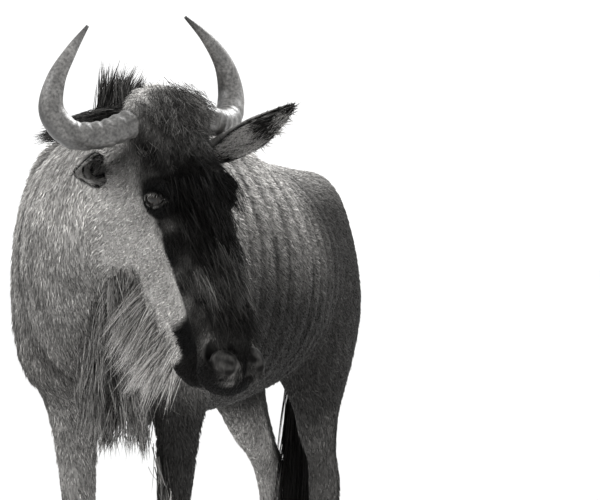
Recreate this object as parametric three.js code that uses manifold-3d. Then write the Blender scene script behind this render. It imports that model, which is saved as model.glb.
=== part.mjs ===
// A brindled wildebeest, life size, standing with its head hung and turned to its left.
// Millimetres, +Z up. The body faces -Y and the animal's left side is towards +X.
import * as THREE from "three";
import { mergeVertices } from "three/addons/utils/BufferGeometryUtils.js";
import Module from "manifold-3d";

const wasm = await Module();
wasm.setup();
const { Manifold, Mesh } = wasm;
const vec = (x, y, z) => new THREE.Vector3(x, y, z);
const radians = THREE.MathUtils.degToRad;

// Driving dimensions
const GAP = 0.3;
const WITHERS_HEIGHT = 1285;
const CROUP_HEIGHT = 1185;
const BELLY_HEIGHT = 705;
const BARREL_WIDTH = 440;
const CHEST_WIDTH = 400;
const HOCK_HEIGHT = 555;
const HOOF_HEIGHT = 58;
const HOOF_LENGTH = 102;
const HEAD_SIZE = 1.04;
const HEAD_AT = vec(226, -868, 1279);
const VIEWED_FROM = 18;
const HEAD_TURN = 57.8;
const HEAD_DIP = 72.1;
const HEAD_LEAN = 6.3;
const EYE_RADIUS = 22;
const EYE_AT = vec(70, -152, -8);
const LID = 5;
const EAR_LENGTH = 212;
const MANE_LENGTH = 95;
const BEARD_LENGTH = 110;
const TAIL_END = 350;

// Fields: each takes a point and gives its rough distance to a surface, negative inside

// The smooth union of two distances, rounding their join over a width k.
function soften(a, b, k) {
  const h = Math.max(k - Math.abs(a - b), 0) / k;
  return Math.min(a, b) - h * h * k * 0.25;
}

function blend(k, ...fields) {
  return (x, y, z) => fields.reduce((sum, f) => soften(sum, f(x, y, z), k), 1e9);
}

// Rows of numbers, resampled along a Catmull-Rom curve through them.
function fair(rows, steps) {
  const made = [];
  for (let i = 0; i < rows.length - 1; i++) {
    const four = [rows[Math.max(i - 1, 0)], rows[i], rows[i + 1], rows[Math.min(i + 2, rows.length - 1)]];
    for (let j = 0; j < steps; j++) {
      const t = j / steps;
      const mix = [-t * (1 - t) ** 2, 2 - 5 * t * t + 3 * t ** 3, t * (1 + 4 * t - 3 * t * t), t * t * (t - 1)];
      made.push(rows[i].map((_, n) => 0.5 * four.reduce((sum, row, m) => sum + row[n] * mix[m], 0)));
    }
  }
  made.push(rows[rows.length - 1]);
  return made;
}

// A limb of elliptical section through stations [x, y, z, half width, half depth].
// The depth lies in the plane of the limb and the direction deep.
function limb(stations, deep, steps = 4) {
  const rows = fair(stations, steps);
  const pieces = rows.slice(1).map((end, i) => {
    const start = rows[i];
    const along = vec(end[0] - start[0], end[1] - start[1], end[2] - start[2]);
    const across = along.clone().cross(deep).normalize();
    return { start, end, along, across, square: along.lengthSq() };
  });
  return (x, y, z) => {
    let nearest = 1e9;
    for (const { start, end, along, across, square } of pieces) {
      const px = x - start[0];
      const py = y - start[1];
      const pz = z - start[2];
      const t = THREE.MathUtils.clamp((px * along.x + py * along.y + pz * along.z) / square, 0, 1);
      const qx = px - along.x * t;
      const qy = py - along.y * t;
      const qz = pz - along.z * t;
      const u = qx * across.x + qy * across.y + qz * across.z;
      const v = Math.sqrt(Math.max(qx * qx + qy * qy + qz * qz - u * u, 0));
      const w = start[3] + (end[3] - start[3]) * t;
      const d = start[4] + (end[4] - start[4]) * t;
      nearest = Math.min(nearest, fromEllipse(u / w, v / d, 0, w, d, 1));
    }
    return nearest;
  };
}

// Rough distance to an ellipsoid, from a point already divided by its radii.
function fromEllipse(a, b, c, ra, rb, rc) {
  const size = Math.hypot(a, b, c);
  const slope = Math.hypot(a / ra, b / rb, c / rc);
  return slope > 1e-9 ? (size * (size - 1)) / slope : -Math.min(ra, rb);
}

// An ellipsoid, turned about X by pitch and then about Z by turn, in degrees.
function mass([cx, cy, cz], [rx, ry, rz], pitch = 0, turn = 0) {
  const back = new THREE.Matrix4()
    .makeRotationZ(radians(turn))
    .multiply(new THREE.Matrix4().makeRotationX(radians(pitch)))
    .transpose();
  const e = back.elements;
  return (x, y, z) => {
    const px = x - cx;
    const py = y - cy;
    const pz = z - cz;
    const a = (e[0] * px + e[4] * py + e[8] * pz) / rx;
    const b = (e[1] * px + e[5] * py + e[9] * pz) / ry;
    const c = (e[2] * px + e[6] * py + e[10] * pz) / rz;
    return fromEllipse(a, b, c, rx, ry, rz);
  };
}

// A form and its mirror image across the plane x = 0.
const bothSides = (field) => (x, y, z) => field(Math.abs(x), y, z);

// Torso

// Each row is a station along the body: y, top, underside and width.
const TORSO = [
  [-600, 1120, 810, 0.56 * CHEST_WIDTH],
  [-530, 1205, 735, 0.82 * CHEST_WIDTH],
  [-400, WITHERS_HEIGHT - 10, 700, 0.98 * CHEST_WIDTH],
  [-220, WITHERS_HEIGHT, BELLY_HEIGHT - 4, 0.95 * BARREL_WIDTH],
  [0, 1228, BELLY_HEIGHT + 6, BARREL_WIDTH],
  [190, CROUP_HEIGHT + 10, BELLY_HEIGHT + 36, 0.92 * BARREL_WIDTH],
  [330, CROUP_HEIGHT + 4, BELLY_HEIGHT + 96, 0.72 * BARREL_WIDTH],
  [440, CROUP_HEIGHT - 20, BELLY_HEIGHT + 160, 0.54 * BARREL_WIDTH],
  [515, CROUP_HEIGHT - 70, BELLY_HEIGHT + 240, 0.34 * BARREL_WIDTH],
].map(([y, top, bottom, width]) => [0, y, (top + bottom) / 2, width / 2, (top - bottom) / 2]);

const torsoForm = blend(
  60,
  limb(TORSO, vec(0, 0, 1)),
  bothSides(mass([118, -455, 1000], [72, 110, 225], 14)),
  bothSides(mass([104, -575, 880], [58, 90, 120], -20)),
  bothSides(mass([84, 400, 985], [72, 150, 180], -18)),
  bothSides(mass([90, 385, 860], [54, 120, 130], 14)),
);

// Legs: stations from inside the body down to the hoof

const FORE_LEFT = [
  [112, -480, 900, 62, 100],
  [112, -466, 765, 50, 86],
  [108, -471, 650, 38, 59],
  [104, -482, 520, 30, 37],
  [103, -486, 430, 35, 38],
  [103, -482, 362, 27, 29],
  [103, -480, 260, 22, 26],
  [103, -480, 150, 29, 33],
  [103, -498, 98, 25, 27],
  [103, -512, 50, 33, 40],
];
const HIND_LEFT = [
  [100, 415, 900, 64, 140],
  [102, 422, 800, 54, 122],
  [102, 462, HOCK_HEIGHT + 135, 41, 76],
  [102, 520, HOCK_HEIGHT + 55, 30, 44],
  [101, 560, HOCK_HEIGHT - 15, 31, 46],
  [100, 556, HOCK_HEIGHT - 90, 26, 34],
  [100, 546, 320, 23, 27],
  [100, 536, 155, 29, 33],
  [100, 518, 100, 25, 27],
  [100, 504, 50, 33, 40],
];

// A leg's stations moved to its own stance, across and along the body, all the way from the hock
// or knee down and less and less above it.
function stance(stations, side, across, along) {
  const top = stations[0][2];
  return stations.map(([x, y, z, w, d]) => {
    const share = Math.min(1, (top - z) / (top - HOCK_HEIGHT));
    return [side * x + across * share, y + along * share, z, w, d];
  });
}

const LEGS = {
  foreleg_left: { stations: stance(FORE_LEFT, 1, -4, 4), rise: 0.45, height: 690 },
  foreleg_right: { stations: stance(FORE_LEFT, -1, 18, 14), rise: 0.45, height: 690 },
  hindleg_left: { stations: stance(HIND_LEFT, 1, 2, -128), rise: 0.5, height: 715 },
  hindleg_right: { stations: stance(HIND_LEFT, -1, 26, 88), rise: 0.5, height: 715 },
};
const legForms = Object.values(LEGS).map(({ stations }) => limb(stations, vec(0, 1, 0)));

// Neck, from the withers to the back of the head

const NECK = [
  [0, -440, 1000, 166, 242],
  [2, -570, 1022, 156, 218],
  [26, -680, 1066, 136, 182],
  [78, -768, 1118, 108, 140],
  [134, -812, 1160, 88, 112],
  [158, -822, 1176, 78, 100],
];
const neckForm = limb(NECK, vec(0, 0, 1));

// Tail: the dock and, hanging from it, the tail itself

const TAIL = [
  [0, 500, 1095, 42, 42],
  [0, 560, 1078, 34, 34],
  [0, 604, 1030, 27, 28],
  [-2, 626, 940, 22, 22],
  [-4, 632, 830, 18, 18],
  [-5, 634, 720, 14, 14],
];
const tailForm = limb(TAIL, vec(0, 1, 0.4));

// Head, in its own frame: x to its left, -y towards the muzzle, z out of the forehead

const headFrame = new THREE.Matrix4()
  .makeTranslation(HEAD_AT)
  .multiply(
    new THREE.Matrix4().makeRotationAxis(
      vec(Math.sin(radians(VIEWED_FROM)), -Math.cos(radians(VIEWED_FROM)), 0),
      radians(HEAD_LEAN),
    ),
  )
  .multiply(new THREE.Matrix4().makeRotationZ(radians(HEAD_TURN)))
  .multiply(new THREE.Matrix4().makeRotationX(radians(HEAD_DIP)))
  .scale(vec(HEAD_SIZE, HEAD_SIZE, HEAD_SIZE));
const headBack = headFrame.clone().invert();

// Each row: distance from the poll towards the muzzle, centre height, half width and half depth.
const CRANIUM = [
  [-22, -30, 58, 40],
  [30, -26, 78, 52],
  [95, -32, 84, 60],
  [160, -36, 78, 62],
  [230, -36, 62, 58],
  [310, -34, 52, 54],
  [385, -38, 50, 50],
  [436, -46, 54, 46],
  [461, -53, 49, 40],
].map(([f, z, w, d]) => [0, -f, z, w, d]);
const JAW = [
  [90, -146, 46, 74],
  [165, -160, 50, 84],
  [250, -142, 46, 68],
  [335, -134, 40, 59],
  [398, -132, 38, 49],
  [424, -130, 34, 37],
].map(([f, z, w, d]) => [0, -f, z, w, d]);

const headForm = blend(
  24,
  limb(CRANIUM, vec(0, 0, 1)),
  limb(JAW, vec(0, 0, 1)),
  bothSides(mass([44, -150, -110], [34, 92, 82])),
  bothSides(mass([69, -150, -6], [21, 38, 26])),
  bothSides(mass([48, -215, -22], [20, 42, 26])),
  bothSides(mass([40, -448, -30], [18, 34, 30])),
  mass([0, -250, -8], [32, 150, 26]),
  mass([0, -458, -72], [50, 32, 24]),
  bothSides(mass([44, -8, -6], [44, 42, 40])),
);
const headInPlace = (x, y, z) => {
  const p = vec(x, y, z).applyMatrix4(headBack);
  return HEAD_SIZE * headForm(p.x, p.y, p.z);
};

const bodyForm = blend(60, torsoForm, blend(10, ...legForms), neckForm);
const wholeForm = blend(32, blend(25, bodyForm, tailForm), headInPlace);

// Meshing

// Even steps from low to high, no longer than step.
function steps(low, high, step) {
  const count = Math.ceil((high - low) / step);
  return Array.from({ length: count + 1 }, (_, i) => low + ((high - low) * i) / count);
}

// The closed surface where field is zero inside a grid, given by its lines along x, y and z in frame.
function surface(field, [xs, ys, zs], frame = new THREE.Matrix4()) {
  const [nx, ny, nz] = [xs.length, ys.length, zs.length];
  const at = (i, j, k) => (i * ny + j) * nz + k;
  const values = new Float32Array(nx * ny * nz);
  for (let i = 0; i < nx; i++)
    for (let j = 0; j < ny; j++)
      for (let k = 0; k < nz; k++) {
        const p = vec(xs[i], ys[j], zs[k]).applyMatrix4(frame);
        const rim = i === 0 || j === 0 || k === 0 || i === nx - 1 || j === ny - 1 || k === nz - 1;
        values[at(i, j, k)] = rim ? Math.max(field(p.x, p.y, p.z), 1) : field(p.x, p.y, p.z);
      }
  const vertexOf = new Int32Array(nx * ny * nz).fill(-1);
  const vertices = [];
  const corners = [0, 1, 2, 3, 4, 5, 6, 7].map((c) => [c & 1, (c >> 1) & 1, (c >> 2) & 1]);
  const edges = corners.flatMap((a, m) =>
    corners.slice(m + 1).flatMap((b) => (a.filter((v, n) => v !== b[n]).length === 1 ? [[a, b]] : [])),
  );
  for (let i = 0; i < nx - 1; i++)
    for (let j = 0; j < ny - 1; j++)
      for (let k = 0; k < nz - 1; k++) {
        const sum = vec(0, 0, 0);
        let crossings = 0;
        for (const [a, b] of edges) {
          const va = values[at(i + a[0], j + a[1], k + a[2])];
          const vb = values[at(i + b[0], j + b[1], k + b[2])];
          if (va < 0 === vb < 0) continue;
          const t = va / (va - vb);
          sum.x += THREE.MathUtils.lerp(xs[i + a[0]], xs[i + b[0]], t);
          sum.y += THREE.MathUtils.lerp(ys[j + a[1]], ys[j + b[1]], t);
          sum.z += THREE.MathUtils.lerp(zs[k + a[2]], zs[k + b[2]], t);
          crossings++;
        }
        if (!crossings) continue;
        vertexOf[at(i, j, k)] = vertices.length / 3;
        const rim = i === 0 || j === 0 || k === 0 || i === nx - 2 || j === ny - 2 || k === nz - 2;
        const p = sum.divideScalar(crossings).applyMatrix4(frame);
        if (!rim) p.lerp(settle(field, p.clone()), 0.96);
        vertices.push(p.x, p.y, p.z);
      }
  const triangles = [];
  const quad = (a, b, c, d, flip) => {
    const p = [a, b, c, d].map((n) => vec(vertices[3 * n], vertices[3 * n + 1], vertices[3 * n + 2]));
    const ring = p[0].distanceTo(p[2]) < p[1].distanceTo(p[3]) ? [a, b, c, a, c, d] : [b, c, d, b, d, a];
    triangles.push(...(flip ? ring.reverse() : ring));
  };
  for (let i = 0; i < nx - 1; i++)
    for (let j = 0; j < ny - 1; j++)
      for (let k = 0; k < nz - 1; k++) {
        const here = values[at(i, j, k)] < 0;
        const crosses = (a, b, c) => here !== values[at(i + a, j + b, k + c)] < 0;
        const v = (a, b, c) => vertexOf[at(i - a, j - b, k - c)];
        if (j && k && crosses(1, 0, 0)) quad(v(0, 0, 0), v(0, 1, 0), v(0, 1, 1), v(0, 0, 1), !here);
        if (i && k && crosses(0, 1, 0)) quad(v(0, 0, 0), v(0, 0, 1), v(1, 0, 1), v(1, 0, 0), !here);
        if (i && j && crosses(0, 0, 1)) quad(v(0, 0, 0), v(1, 0, 0), v(1, 1, 0), v(0, 1, 0), !here);
      }
  return solid(vertices, triangles);
}

// How a field grows at a point, along x, y and z.
function slopeOf(field, p) {
  const e = 1.5;
  return vec(
    field(p.x + e, p.y, p.z) - field(p.x - e, p.y, p.z),
    field(p.x, p.y + e, p.z) - field(p.x, p.y - e, p.z),
    field(p.x, p.y, p.z + e) - field(p.x, p.y, p.z - e),
  ).divideScalar(2 * e);
}

// Moves a point onto the field's zero surface.
function settle(field, p) {
  for (let n = 0; n < 3; n++) {
    const slope = slopeOf(field, p);
    const move = (-0.9 * field(p.x, p.y, p.z)) / Math.max(slope.lengthSq(), 0.2);
    p.addScaledVector(slope, THREE.MathUtils.clamp(move, -8, 8));
  }
  return p;
}

function solid(vertices, triangles) {
  const made = new Manifold(
    new Mesh({
      numProp: 3,
      vertProperties: new Float32Array(vertices),
      triVerts: new Uint32Array(triangles),
    }),
  );
  return made.volume() < 0 ? solid(vertices, triangles.slice().reverse()) : made;
}

// The largest closed surface of a solid, without its shortest edges.
function largest(made) {
  const pieces = made.decompose();
  return pieces.reduce((a, b) => (a.volume() > b.volume() ? a : b)).simplify(0.05);
}

// Keeps the side of a plane that its normal points to, half the gap away from the plane.
function keep(made, point, normal) {
  const n = normal.clone().normalize();
  return made.trimByPlane(n.toArray(), n.dot(point) + GAP / 2);
}

// A three.js geometry as a solid, placed by a matrix.
function shaped(geometry, matrix) {
  const bare = geometry.clone();
  bare.deleteAttribute("normal");
  bare.deleteAttribute("uv");
  const merged = mergeVertices(bare.applyMatrix4(matrix), 1e-4);
  return solid(merged.getAttribute("position").array, merged.index.array);
}

// A closed solid through rings of points, all with the same count, with a flat cap on each end.
function loft(rings) {
  const count = rings[0].length;
  const vertices = rings.flat().flatMap((p) => p.toArray());
  const triangles = [];
  for (let i = 0; i < rings.length - 1; i++)
    for (let j = 0; j < count; j++) {
      const [a, b] = [i * count + j, i * count + ((j + 1) % count)];
      triangles.push(a, b, b + count, a, b + count, a + count);
    }
  const cap = THREE.ShapeUtils.triangulateShape(flatten(rings[0]), []);
  const last = (rings.length - 1) * count;
  const lastCap = THREE.ShapeUtils.triangulateShape(flatten(rings[rings.length - 1]), []);
  for (const [a, b, c] of cap) triangles.push(a, c, b);
  for (const [a, b, c] of lastCap) triangles.push(last + a, last + b, last + c);
  return solid(vertices, triangles);
}

// A ring's points in the plane that it lies in.
function flatten(ring) {
  const middle = ring.reduce((sum, p) => sum.add(p), vec(0, 0, 0)).divideScalar(ring.length);
  const normal = vec(0, 0, 0);
  ring.forEach((p, i) => normal.add(p.clone().sub(middle).cross(ring[(i + 1) % ring.length].clone().sub(middle))));
  const u = ring[0].clone().sub(middle).normalize();
  const v = normal.normalize().clone().cross(u);
  return ring.map((p) => new THREE.Vector2(p.clone().sub(middle).dot(u), p.clone().sub(middle).dot(v)));
}

// A round tube along rows of [x, y, z, radius], placed by a matrix.
function tube(rows, sides, matrix) {
  const points = rows.map(([x, y, z]) => vec(x, y, z));
  let across = vec(0.3, 0.2, 1);
  const rings = rows.map(([, , , radius], i) => {
    const along = points[Math.min(i + 1, rows.length - 1)].clone().sub(points[Math.max(i - 1, 0)]).normalize();
    across = across.clone().addScaledVector(along, -across.dot(along)).normalize();
    const other = along.clone().cross(across);
    return Array.from({ length: sides }, (_, n) => {
      const turn = (2 * Math.PI * n) / sides;
      const out = across.clone().multiplyScalar(Math.cos(turn)).addScaledVector(other, Math.sin(turn));
      return points[i].clone().addScaledVector(out, radius).applyMatrix4(matrix);
    });
  });
  return loft(rings);
}

// A solid with each vertex moved outward by a distance.
function grown(made, distance) {
  const mesh = made.getMesh();
  const geometry = new THREE.BufferGeometry()
    .setAttribute("position", new THREE.BufferAttribute(mesh.vertProperties, 3))
    .setIndex(new THREE.BufferAttribute(mesh.triVerts, 1));
  geometry.computeVertexNormals();
  const normals = geometry.getAttribute("normal").array;
  return solid(mesh.vertProperties.map((v, i) => v + distance * normals[i]), mesh.triVerts);
}

const sides = { left: 1, right: -1 };

// Horns: out and back from the side of the crown, down a little, then up and in to the tips

const HORN = fair(
  [
    [62, -10, -10, 26],
    [98, -18, -18, 26],
    [134, -20, -36, 25],
    [174, -6, -56, 26],
    [198, 38, -58, 24],
    [186, 86, -38, 18],
    [150, 130, -18, 11],
    [108, 168, -6, 3],
  ],
  2,
);
const hornOf = (side) => tube(HORN.map(([x, ...rest]) => [side * x, ...rest]), 10, headFrame);

// Eyes, in sockets under lids with an almond opening

function eyeBall(side, radius) {
  const ball = new THREE.SphereGeometry(radius, 12, 8);
  const place = new THREE.Matrix4().makeTranslation(side * EYE_AT.x, EYE_AT.y, EYE_AT.z);
  return shaped(ball, new THREE.Matrix4().multiplyMatrices(headFrame, place));
}

// The opening between the lids, from inside the eye outward.
function almond(side, halfLength, halfHeight) {
  const out = vec(side * 0.94, -0.24, 0.26).normalize();
  const long = vec(0, -0.5, 0.86);
  long.addScaledVector(out, -long.dot(out)).normalize();
  const short = out.clone().cross(long);
  const centre = vec(side * EYE_AT.x, EYE_AT.y, EYE_AT.z);
  const ring = (reach, scale) =>
    Array.from({ length: 12 }, (_, n) => {
      const turn = (2 * Math.PI * n) / 12;
      const height = halfHeight * Math.sin(turn) * (0.55 + 0.45 * Math.abs(Math.sin(turn)));
      return centre
        .clone()
        .addScaledVector(out, reach)
        .addScaledVector(long, scale * halfLength * Math.cos(turn))
        .addScaledVector(short, scale * height)
        .applyMatrix4(headFrame);
    });
  return loft([ring(0.4 * EYE_RADIUS, 1), ring(EYE_RADIUS + 2, 1), ring(2 * EYE_RADIUS, 1.6)]);
}

// Nostrils: deep slanting hollows in the sides of the muzzle's end

const NOSTRIL_AT = vec(47, -456, -20);
function nostril(side) {
  const place = new THREE.Matrix4()
    .makeTranslation(side * NOSTRIL_AT.x, NOSTRIL_AT.y, NOSTRIL_AT.z)
    .multiply(new THREE.Matrix4().makeRotationZ(side * radians(-18)))
    .multiply(new THREE.Matrix4().makeRotationX(radians(-28)))
    .multiply(new THREE.Matrix4().makeScale(20, 27, 12));
  return shaped(new THREE.SphereGeometry(1, 12, 8), new THREE.Matrix4().multiplyMatrices(headFrame, place));
}

// The mouth line: a shallow groove from one corner round the muzzle to the other

const MOUTH = fair(
  [
    [48, -340, -80],
    [49, -388, -97],
    [46, -432, -108],
    [33, -470, -104],
    [0, -484, -100],
    [-33, -470, -104],
    [-46, -432, -108],
    [-49, -388, -97],
    [-48, -340, -80],
  ],
  1,
);
function mouthLine() {
  const half = 1.6;
  const rings = MOUTH.map(([x, y, z], i) => {
    const before = MOUTH[Math.max(i - 1, 0)];
    const after = MOUTH[Math.min(i + 1, MOUTH.length - 1)];
    const out = vec(before[1] - after[1], after[0] - before[0], 0).normalize().negate();
    const corner = (reach, up) => vec(x, y, z + up).addScaledVector(out, reach).applyMatrix4(headFrame);
    return [corner(-9, 0), corner(26, -half * 2), corner(26, half * 2)];
  });
  return loft(rings);
}

// Ears: leaf-shaped cups. Each has its root, its direction and the way that it opens.

const EARS = {
  left: { root: vec(78, -72, -92), along: vec(0.6, 0.07, 0.8), open: vec(-0.5, -0.75, 0.4) },
  right: { root: vec(-78, -50, -130), along: vec(-0.67, -0.24, 0.7), open: vec(0.74, -0.16, 0.55) },
};
const EAR_WALL = 5;
function ear({ root, along, open }) {
  const axis = along.clone().normalize();
  const front = open.clone().addScaledVector(axis, -open.dot(axis)).normalize();
  const across = axis.clone().cross(front);
  // Each row: place along the ear, radius and half angle of the cup, how far it bends back.
  const rows = [
    [0, 17, 2.5, 0],
    [0.15, 18, 2.4, 0],
    [0.3, 24, 2.1, 0],
    [0.48, 30, 1.6, 2],
    [0.66, 31, 1.45, 4],
    [0.82, 23, 1.35, 6],
    [0.93, 14, 1.3, 9],
    [1, 6, 1.2, 11],
  ];
  const rings = rows.map(([u, radius, spread, back]) => {
    const arc = (r) =>
      Array.from({ length: 6 }, (_, n) => {
        const turn = spread * ((2 * n) / 5 - 1);
        return root
          .clone()
          .addScaledVector(axis, u * EAR_LENGTH)
          .addScaledVector(front, radius - 20 - r * Math.cos(turn) - back)
          .addScaledVector(across, r * Math.sin(turn))
          .applyMatrix4(headFrame);
      });
    return [...arc(radius), ...arc(radius - Math.min(EAR_WALL, radius * 0.55)).reverse()];
  });
  return loft(rings);
}

// Hooves: two claws each, joined above and behind the cleft

function hoof(stations) {
  const [x, y, , width, depth] = stations[stations.length - 1];
  // Each row: height, half width, reach forward and reach back.
  const rows = [
    [0, 1.22 * width, HOOF_LENGTH - 1.02 * depth, 1.02 * depth],
    [8, 1.2 * width, HOOF_LENGTH - 1.05 * depth, 1.05 * depth],
    [HOOF_HEIGHT - GAP / 2, width, 0.96 * depth, depth],
  ];
  const rings = rows.map(([z, half, front, back]) =>
    Array.from({ length: 16 }, (_, n) => {
      const turn = (2 * Math.PI * (n + 0.5)) / 16;
      const ahead = Math.cos(turn);
      const sharp = ahead > 0 ? front * ahead : back * ahead;
      return vec(x + half * Math.sin(turn) * (1 - 0.22 * Math.max(ahead, 0)), y - sharp, z);
    }),
  );
  const cleft = loft(
    [
      [-1, 5],
      [HOOF_HEIGHT * 0.75, 2.5],
    ].map(([z, half]) => [
      vec(x - half, y - HOOF_LENGTH, z),
      vec(x + half, y - HOOF_LENGTH, z),
      vec(x + 0.4 * half, y + 0.55 * depth, z),
      vec(x - 0.4 * half, y + 0.55 * depth, z),
    ]),
  );
  return loft(rings).subtract(cleft);
}

// Dewclaws: two blunt pegs behind each fetlock
function dewclaws(stations) {
  const [x, y, z, width, depth] = stations[stations.length - 3];
  return [-1, 1].map((side) =>
    tube(
      [
        [x + side * 0.45 * width, y + 0.5 * depth, z - 26, 12],
        [x + side * 0.6 * width, y + 1.05 * depth, z - 36, 10],
        [x + side * 0.62 * width, y + 1.25 * depth, z - 50, 5],
      ],
      6,
      new THREE.Matrix4(),
    ),
  );
}

// Locks of hair

// Repeatable random numbers from 0 to 1.
function seeded(seed) {
  let state = seed;
  return () => {
    state = (state * 1664525 + 1013904223) % 4294967296;
    return state / 4294967296;
  };
}

// The point where a straight line from inside a field comes out of it.
function exit(field, from, way) {
  const at = (reach) => from.clone().addScaledVector(way, reach);
  let [inside, outside] = [0, 500];
  for (let n = 0; n < 16; n++) {
    const middle = (inside + outside) / 2;
    const p = at(middle);
    if (field(p.x, p.y, p.z) < 0) inside = middle;
    else outside = middle;
  }
  return at(inside);
}

// A flat tapered lock. It leaves its root along out, bends over to lie, and its flat side faces
// across the direction side. Its root is sunk.
function lock({ root, out, lie, side, length, width, sunk = 22 }) {
  const flat = side.clone().normalize();
  const rings = [-sunk / length, 0.12, 0.42, 0.75, 1].map((t) => {
    const bend = Math.max(t, 0) ** 1.4;
    const middle = root
      .clone()
      .addScaledVector(out, length * (t - 0.6 * bend))
      .addScaledVector(lie, length * 0.6 * bend);
    const way = out.clone().multiplyScalar(1 - 0.6 * bend).addScaledVector(lie, 0.9 * bend).normalize();
    const across = flat.clone().addScaledVector(way, -flat.dot(way)).normalize();
    const up = way.clone().cross(across);
    const taper = t < 0.2 ? 0.85 : 1 - ((t - 0.2) / 0.8) ** 2.4 * 0.93;
    const half = (width / 2) * taper;
    const thick = Math.max(0.3 * half, 0.9);
    return [
      middle.clone().addScaledVector(across, half),
      middle.clone().addScaledVector(up, thick),
      middle.clone().addScaledVector(across, -half),
      middle.clone().addScaledVector(up, -thick),
    ];
  });
  return loft(rings);
}

const joined = (made, more) => more.reduce((sum, piece) => sum.add(piece), made);
const UP = vec(0, 0, 1);

// Points spread evenly along a line of rows, with the line's direction at each.
function spread(rows, count) {
  const line = fair(rows, 8);
  return Array.from({ length: count }, (_, n) => {
    const i = Math.min(Math.floor((n / count) * (line.length - 1)), line.length - 2);
    const [a, b] = [line[i], line[i + 1]];
    return { row: a, way: vec(b[0] - a[0], b[1] - a[1], b[2] - a[2]).normalize() };
  });
}

// Mane: upright along the crest of the neck and shorter over the withers, and a part of it
// fallen to the right side
function maneLocks() {
  const random = seeded(11);
  const maneShare = (t) => 0.72 + 0.5 * Math.min(2.2 * t, 1) - 0.45 * Math.max((t - 0.7) / 0.3, 0);
  const crest = [[0, -150, 1050, 160, 225], [0, -310, 1034, 160, 238], ...NECK];
  const upright = spread(crest, 27).map(({ row: [x, y, z, , d], way }, i) => {
    const lean = (i % 2 ? 1 : -1) * (0.16 + 0.14 * random()) - 0.1;
    const across = way.clone().cross(UP).normalize();
    const out = UP.clone().addScaledVector(across, -lean).normalize();
    const lie = out.clone().addScaledVector(across, -lean).addScaledVector(way, -0.5 * random()).normalize();
    return lock({
      root: exit(bodyForm, vec(x, y, z + 0.75 * d), out),
      out,
      lie,
      side: way,
      length: MANE_LENGTH * maneShare(i / 26) * (0.85 + 0.3 * random()),
      width: 58,
    });
  });
  const fallen = spread(crest.slice(1), 10).map(({ row: [x, y, z, , d], way }) => {
    const across = vec(-1, -0.25, 0);
    const out = vec(-0.62, -0.12, 0.78).normalize();
    return lock({
      root: exit(bodyForm, vec(x, y, z + 0.75 * d), out),
      out: out.clone().addScaledVector(across, 0.2 * random()).normalize(),
      lie: vec(-0.75, -0.2 + 0.3 * random(), -0.65).normalize(),
      side: way,
      length: MANE_LENGTH * (1.05 + 0.35 * random()),
      width: 58,
    });
  });
  return [...upright, ...fallen];
}

// Beard: two rows under the throat, from behind the jaw to the brisket
function beardLocks() {
  const random = seeded(23);
  return spread(NECK, 20).map(({ row: [x, y, z, , d], way }, i) => {
    const aside = (i % 2 ? 1 : -1) * (0.2 + 0.2 * random());
    const across = way.clone().cross(UP).normalize();
    const down = UP.clone().negate().addScaledVector(across, aside).addScaledVector(way, 0.25).normalize();
    return lock({
      root: exit(bodyForm, vec(x + 22, y, z - 0.7 * d), down),
      out: down,
      lie: vec(0.2 * random(), -0.25 * random(), -1).normalize(),
      side: way.clone().addScaledVector(across, i % 3 ? 1.2 : -0.8),
      length: BEARD_LENGTH * (0.75 + 0.4 * Math.sin((Math.PI * (i + 2)) / 24)) * (0.88 + 0.24 * random()),
      width: 54,
    });
  });
}

// Tail tassel: long locks round the lower tail, the upper ones over the lower
function tailLocks() {
  const random = seeded(37);
  const top = TAIL[3][2] - 40;
  return Array.from({ length: 9 }, (_, i) => {
    const turn = i * 2.4;
    const away = vec(Math.cos(turn), Math.sin(turn), 0);
    const height = top - (i / 9) * (top - TAIL[5][2] - 20);
    const length = (height - TAIL_END) * (0.6 + 0.4 * (i / 8)) * (0.93 + 0.07 * random());
    return lock({
      root: vec(TAIL[4][0], TAIL[4][1], height).addScaledVector(away, 8),
      out: vec(0.05 * away.x, 0.05 * away.y, -1).normalize(),
      lie: vec(-0.035 * away.x, -0.035 * away.y, -1).normalize(),
      side: UP.clone().cross(away),
      length,
      width: 36,
      sunk: 20,
    });
  });
}

// Brush of long hair down the front of the face, lying towards the muzzle
function brushLocks() {
  const random = seeded(53);
  const field = (x, y, z) => headForm(x, y, z);
  return Array.from({ length: 12 }, (_, i) => {
    const column = (i % 3) - 1;
    const from = vec(22 * column + 5 * (random() - 0.5), -(152 + 56 * Math.floor(i / 3) + 18 * (i % 2)), -40);
    const root = exit(field, from, vec(0.25 * column, 0, 1).normalize());
    const turned = (v) => v.transformDirection(headFrame);
    return lock({
      root: root.applyMatrix4(headFrame),
      out: turned(vec(0.12 * column, -0.93, 0.32)),
      lie: turned(vec(0.04 * column, -1, -0.06)),
      side: turned(vec(1, 0, 0)),
      length: 80 * (0.85 + 0.3 * random()),
      width: 36,
      sunk: 16,
    });
  });
}

// Cuts between the nodes
const NECK_CUT = { point: vec(0, -560, 1020), normal: vec(0.22, -0.936, 0.353) };
const legCut = (leg) => {
  const side = Math.sign(leg.stations[0][0]);
  return { point: vec(side * 70, 0, leg.height), normal: vec(-side * leg.rise, 0, 1) };
};

// The tail's block: all of the flesh in it is the tail's.
const tailBlock = (extra) =>
  shaped(new THREE.BoxGeometry(150, 200, 500), new THREE.Matrix4().makeTranslation(0, 664 - extra, 880));

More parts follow.
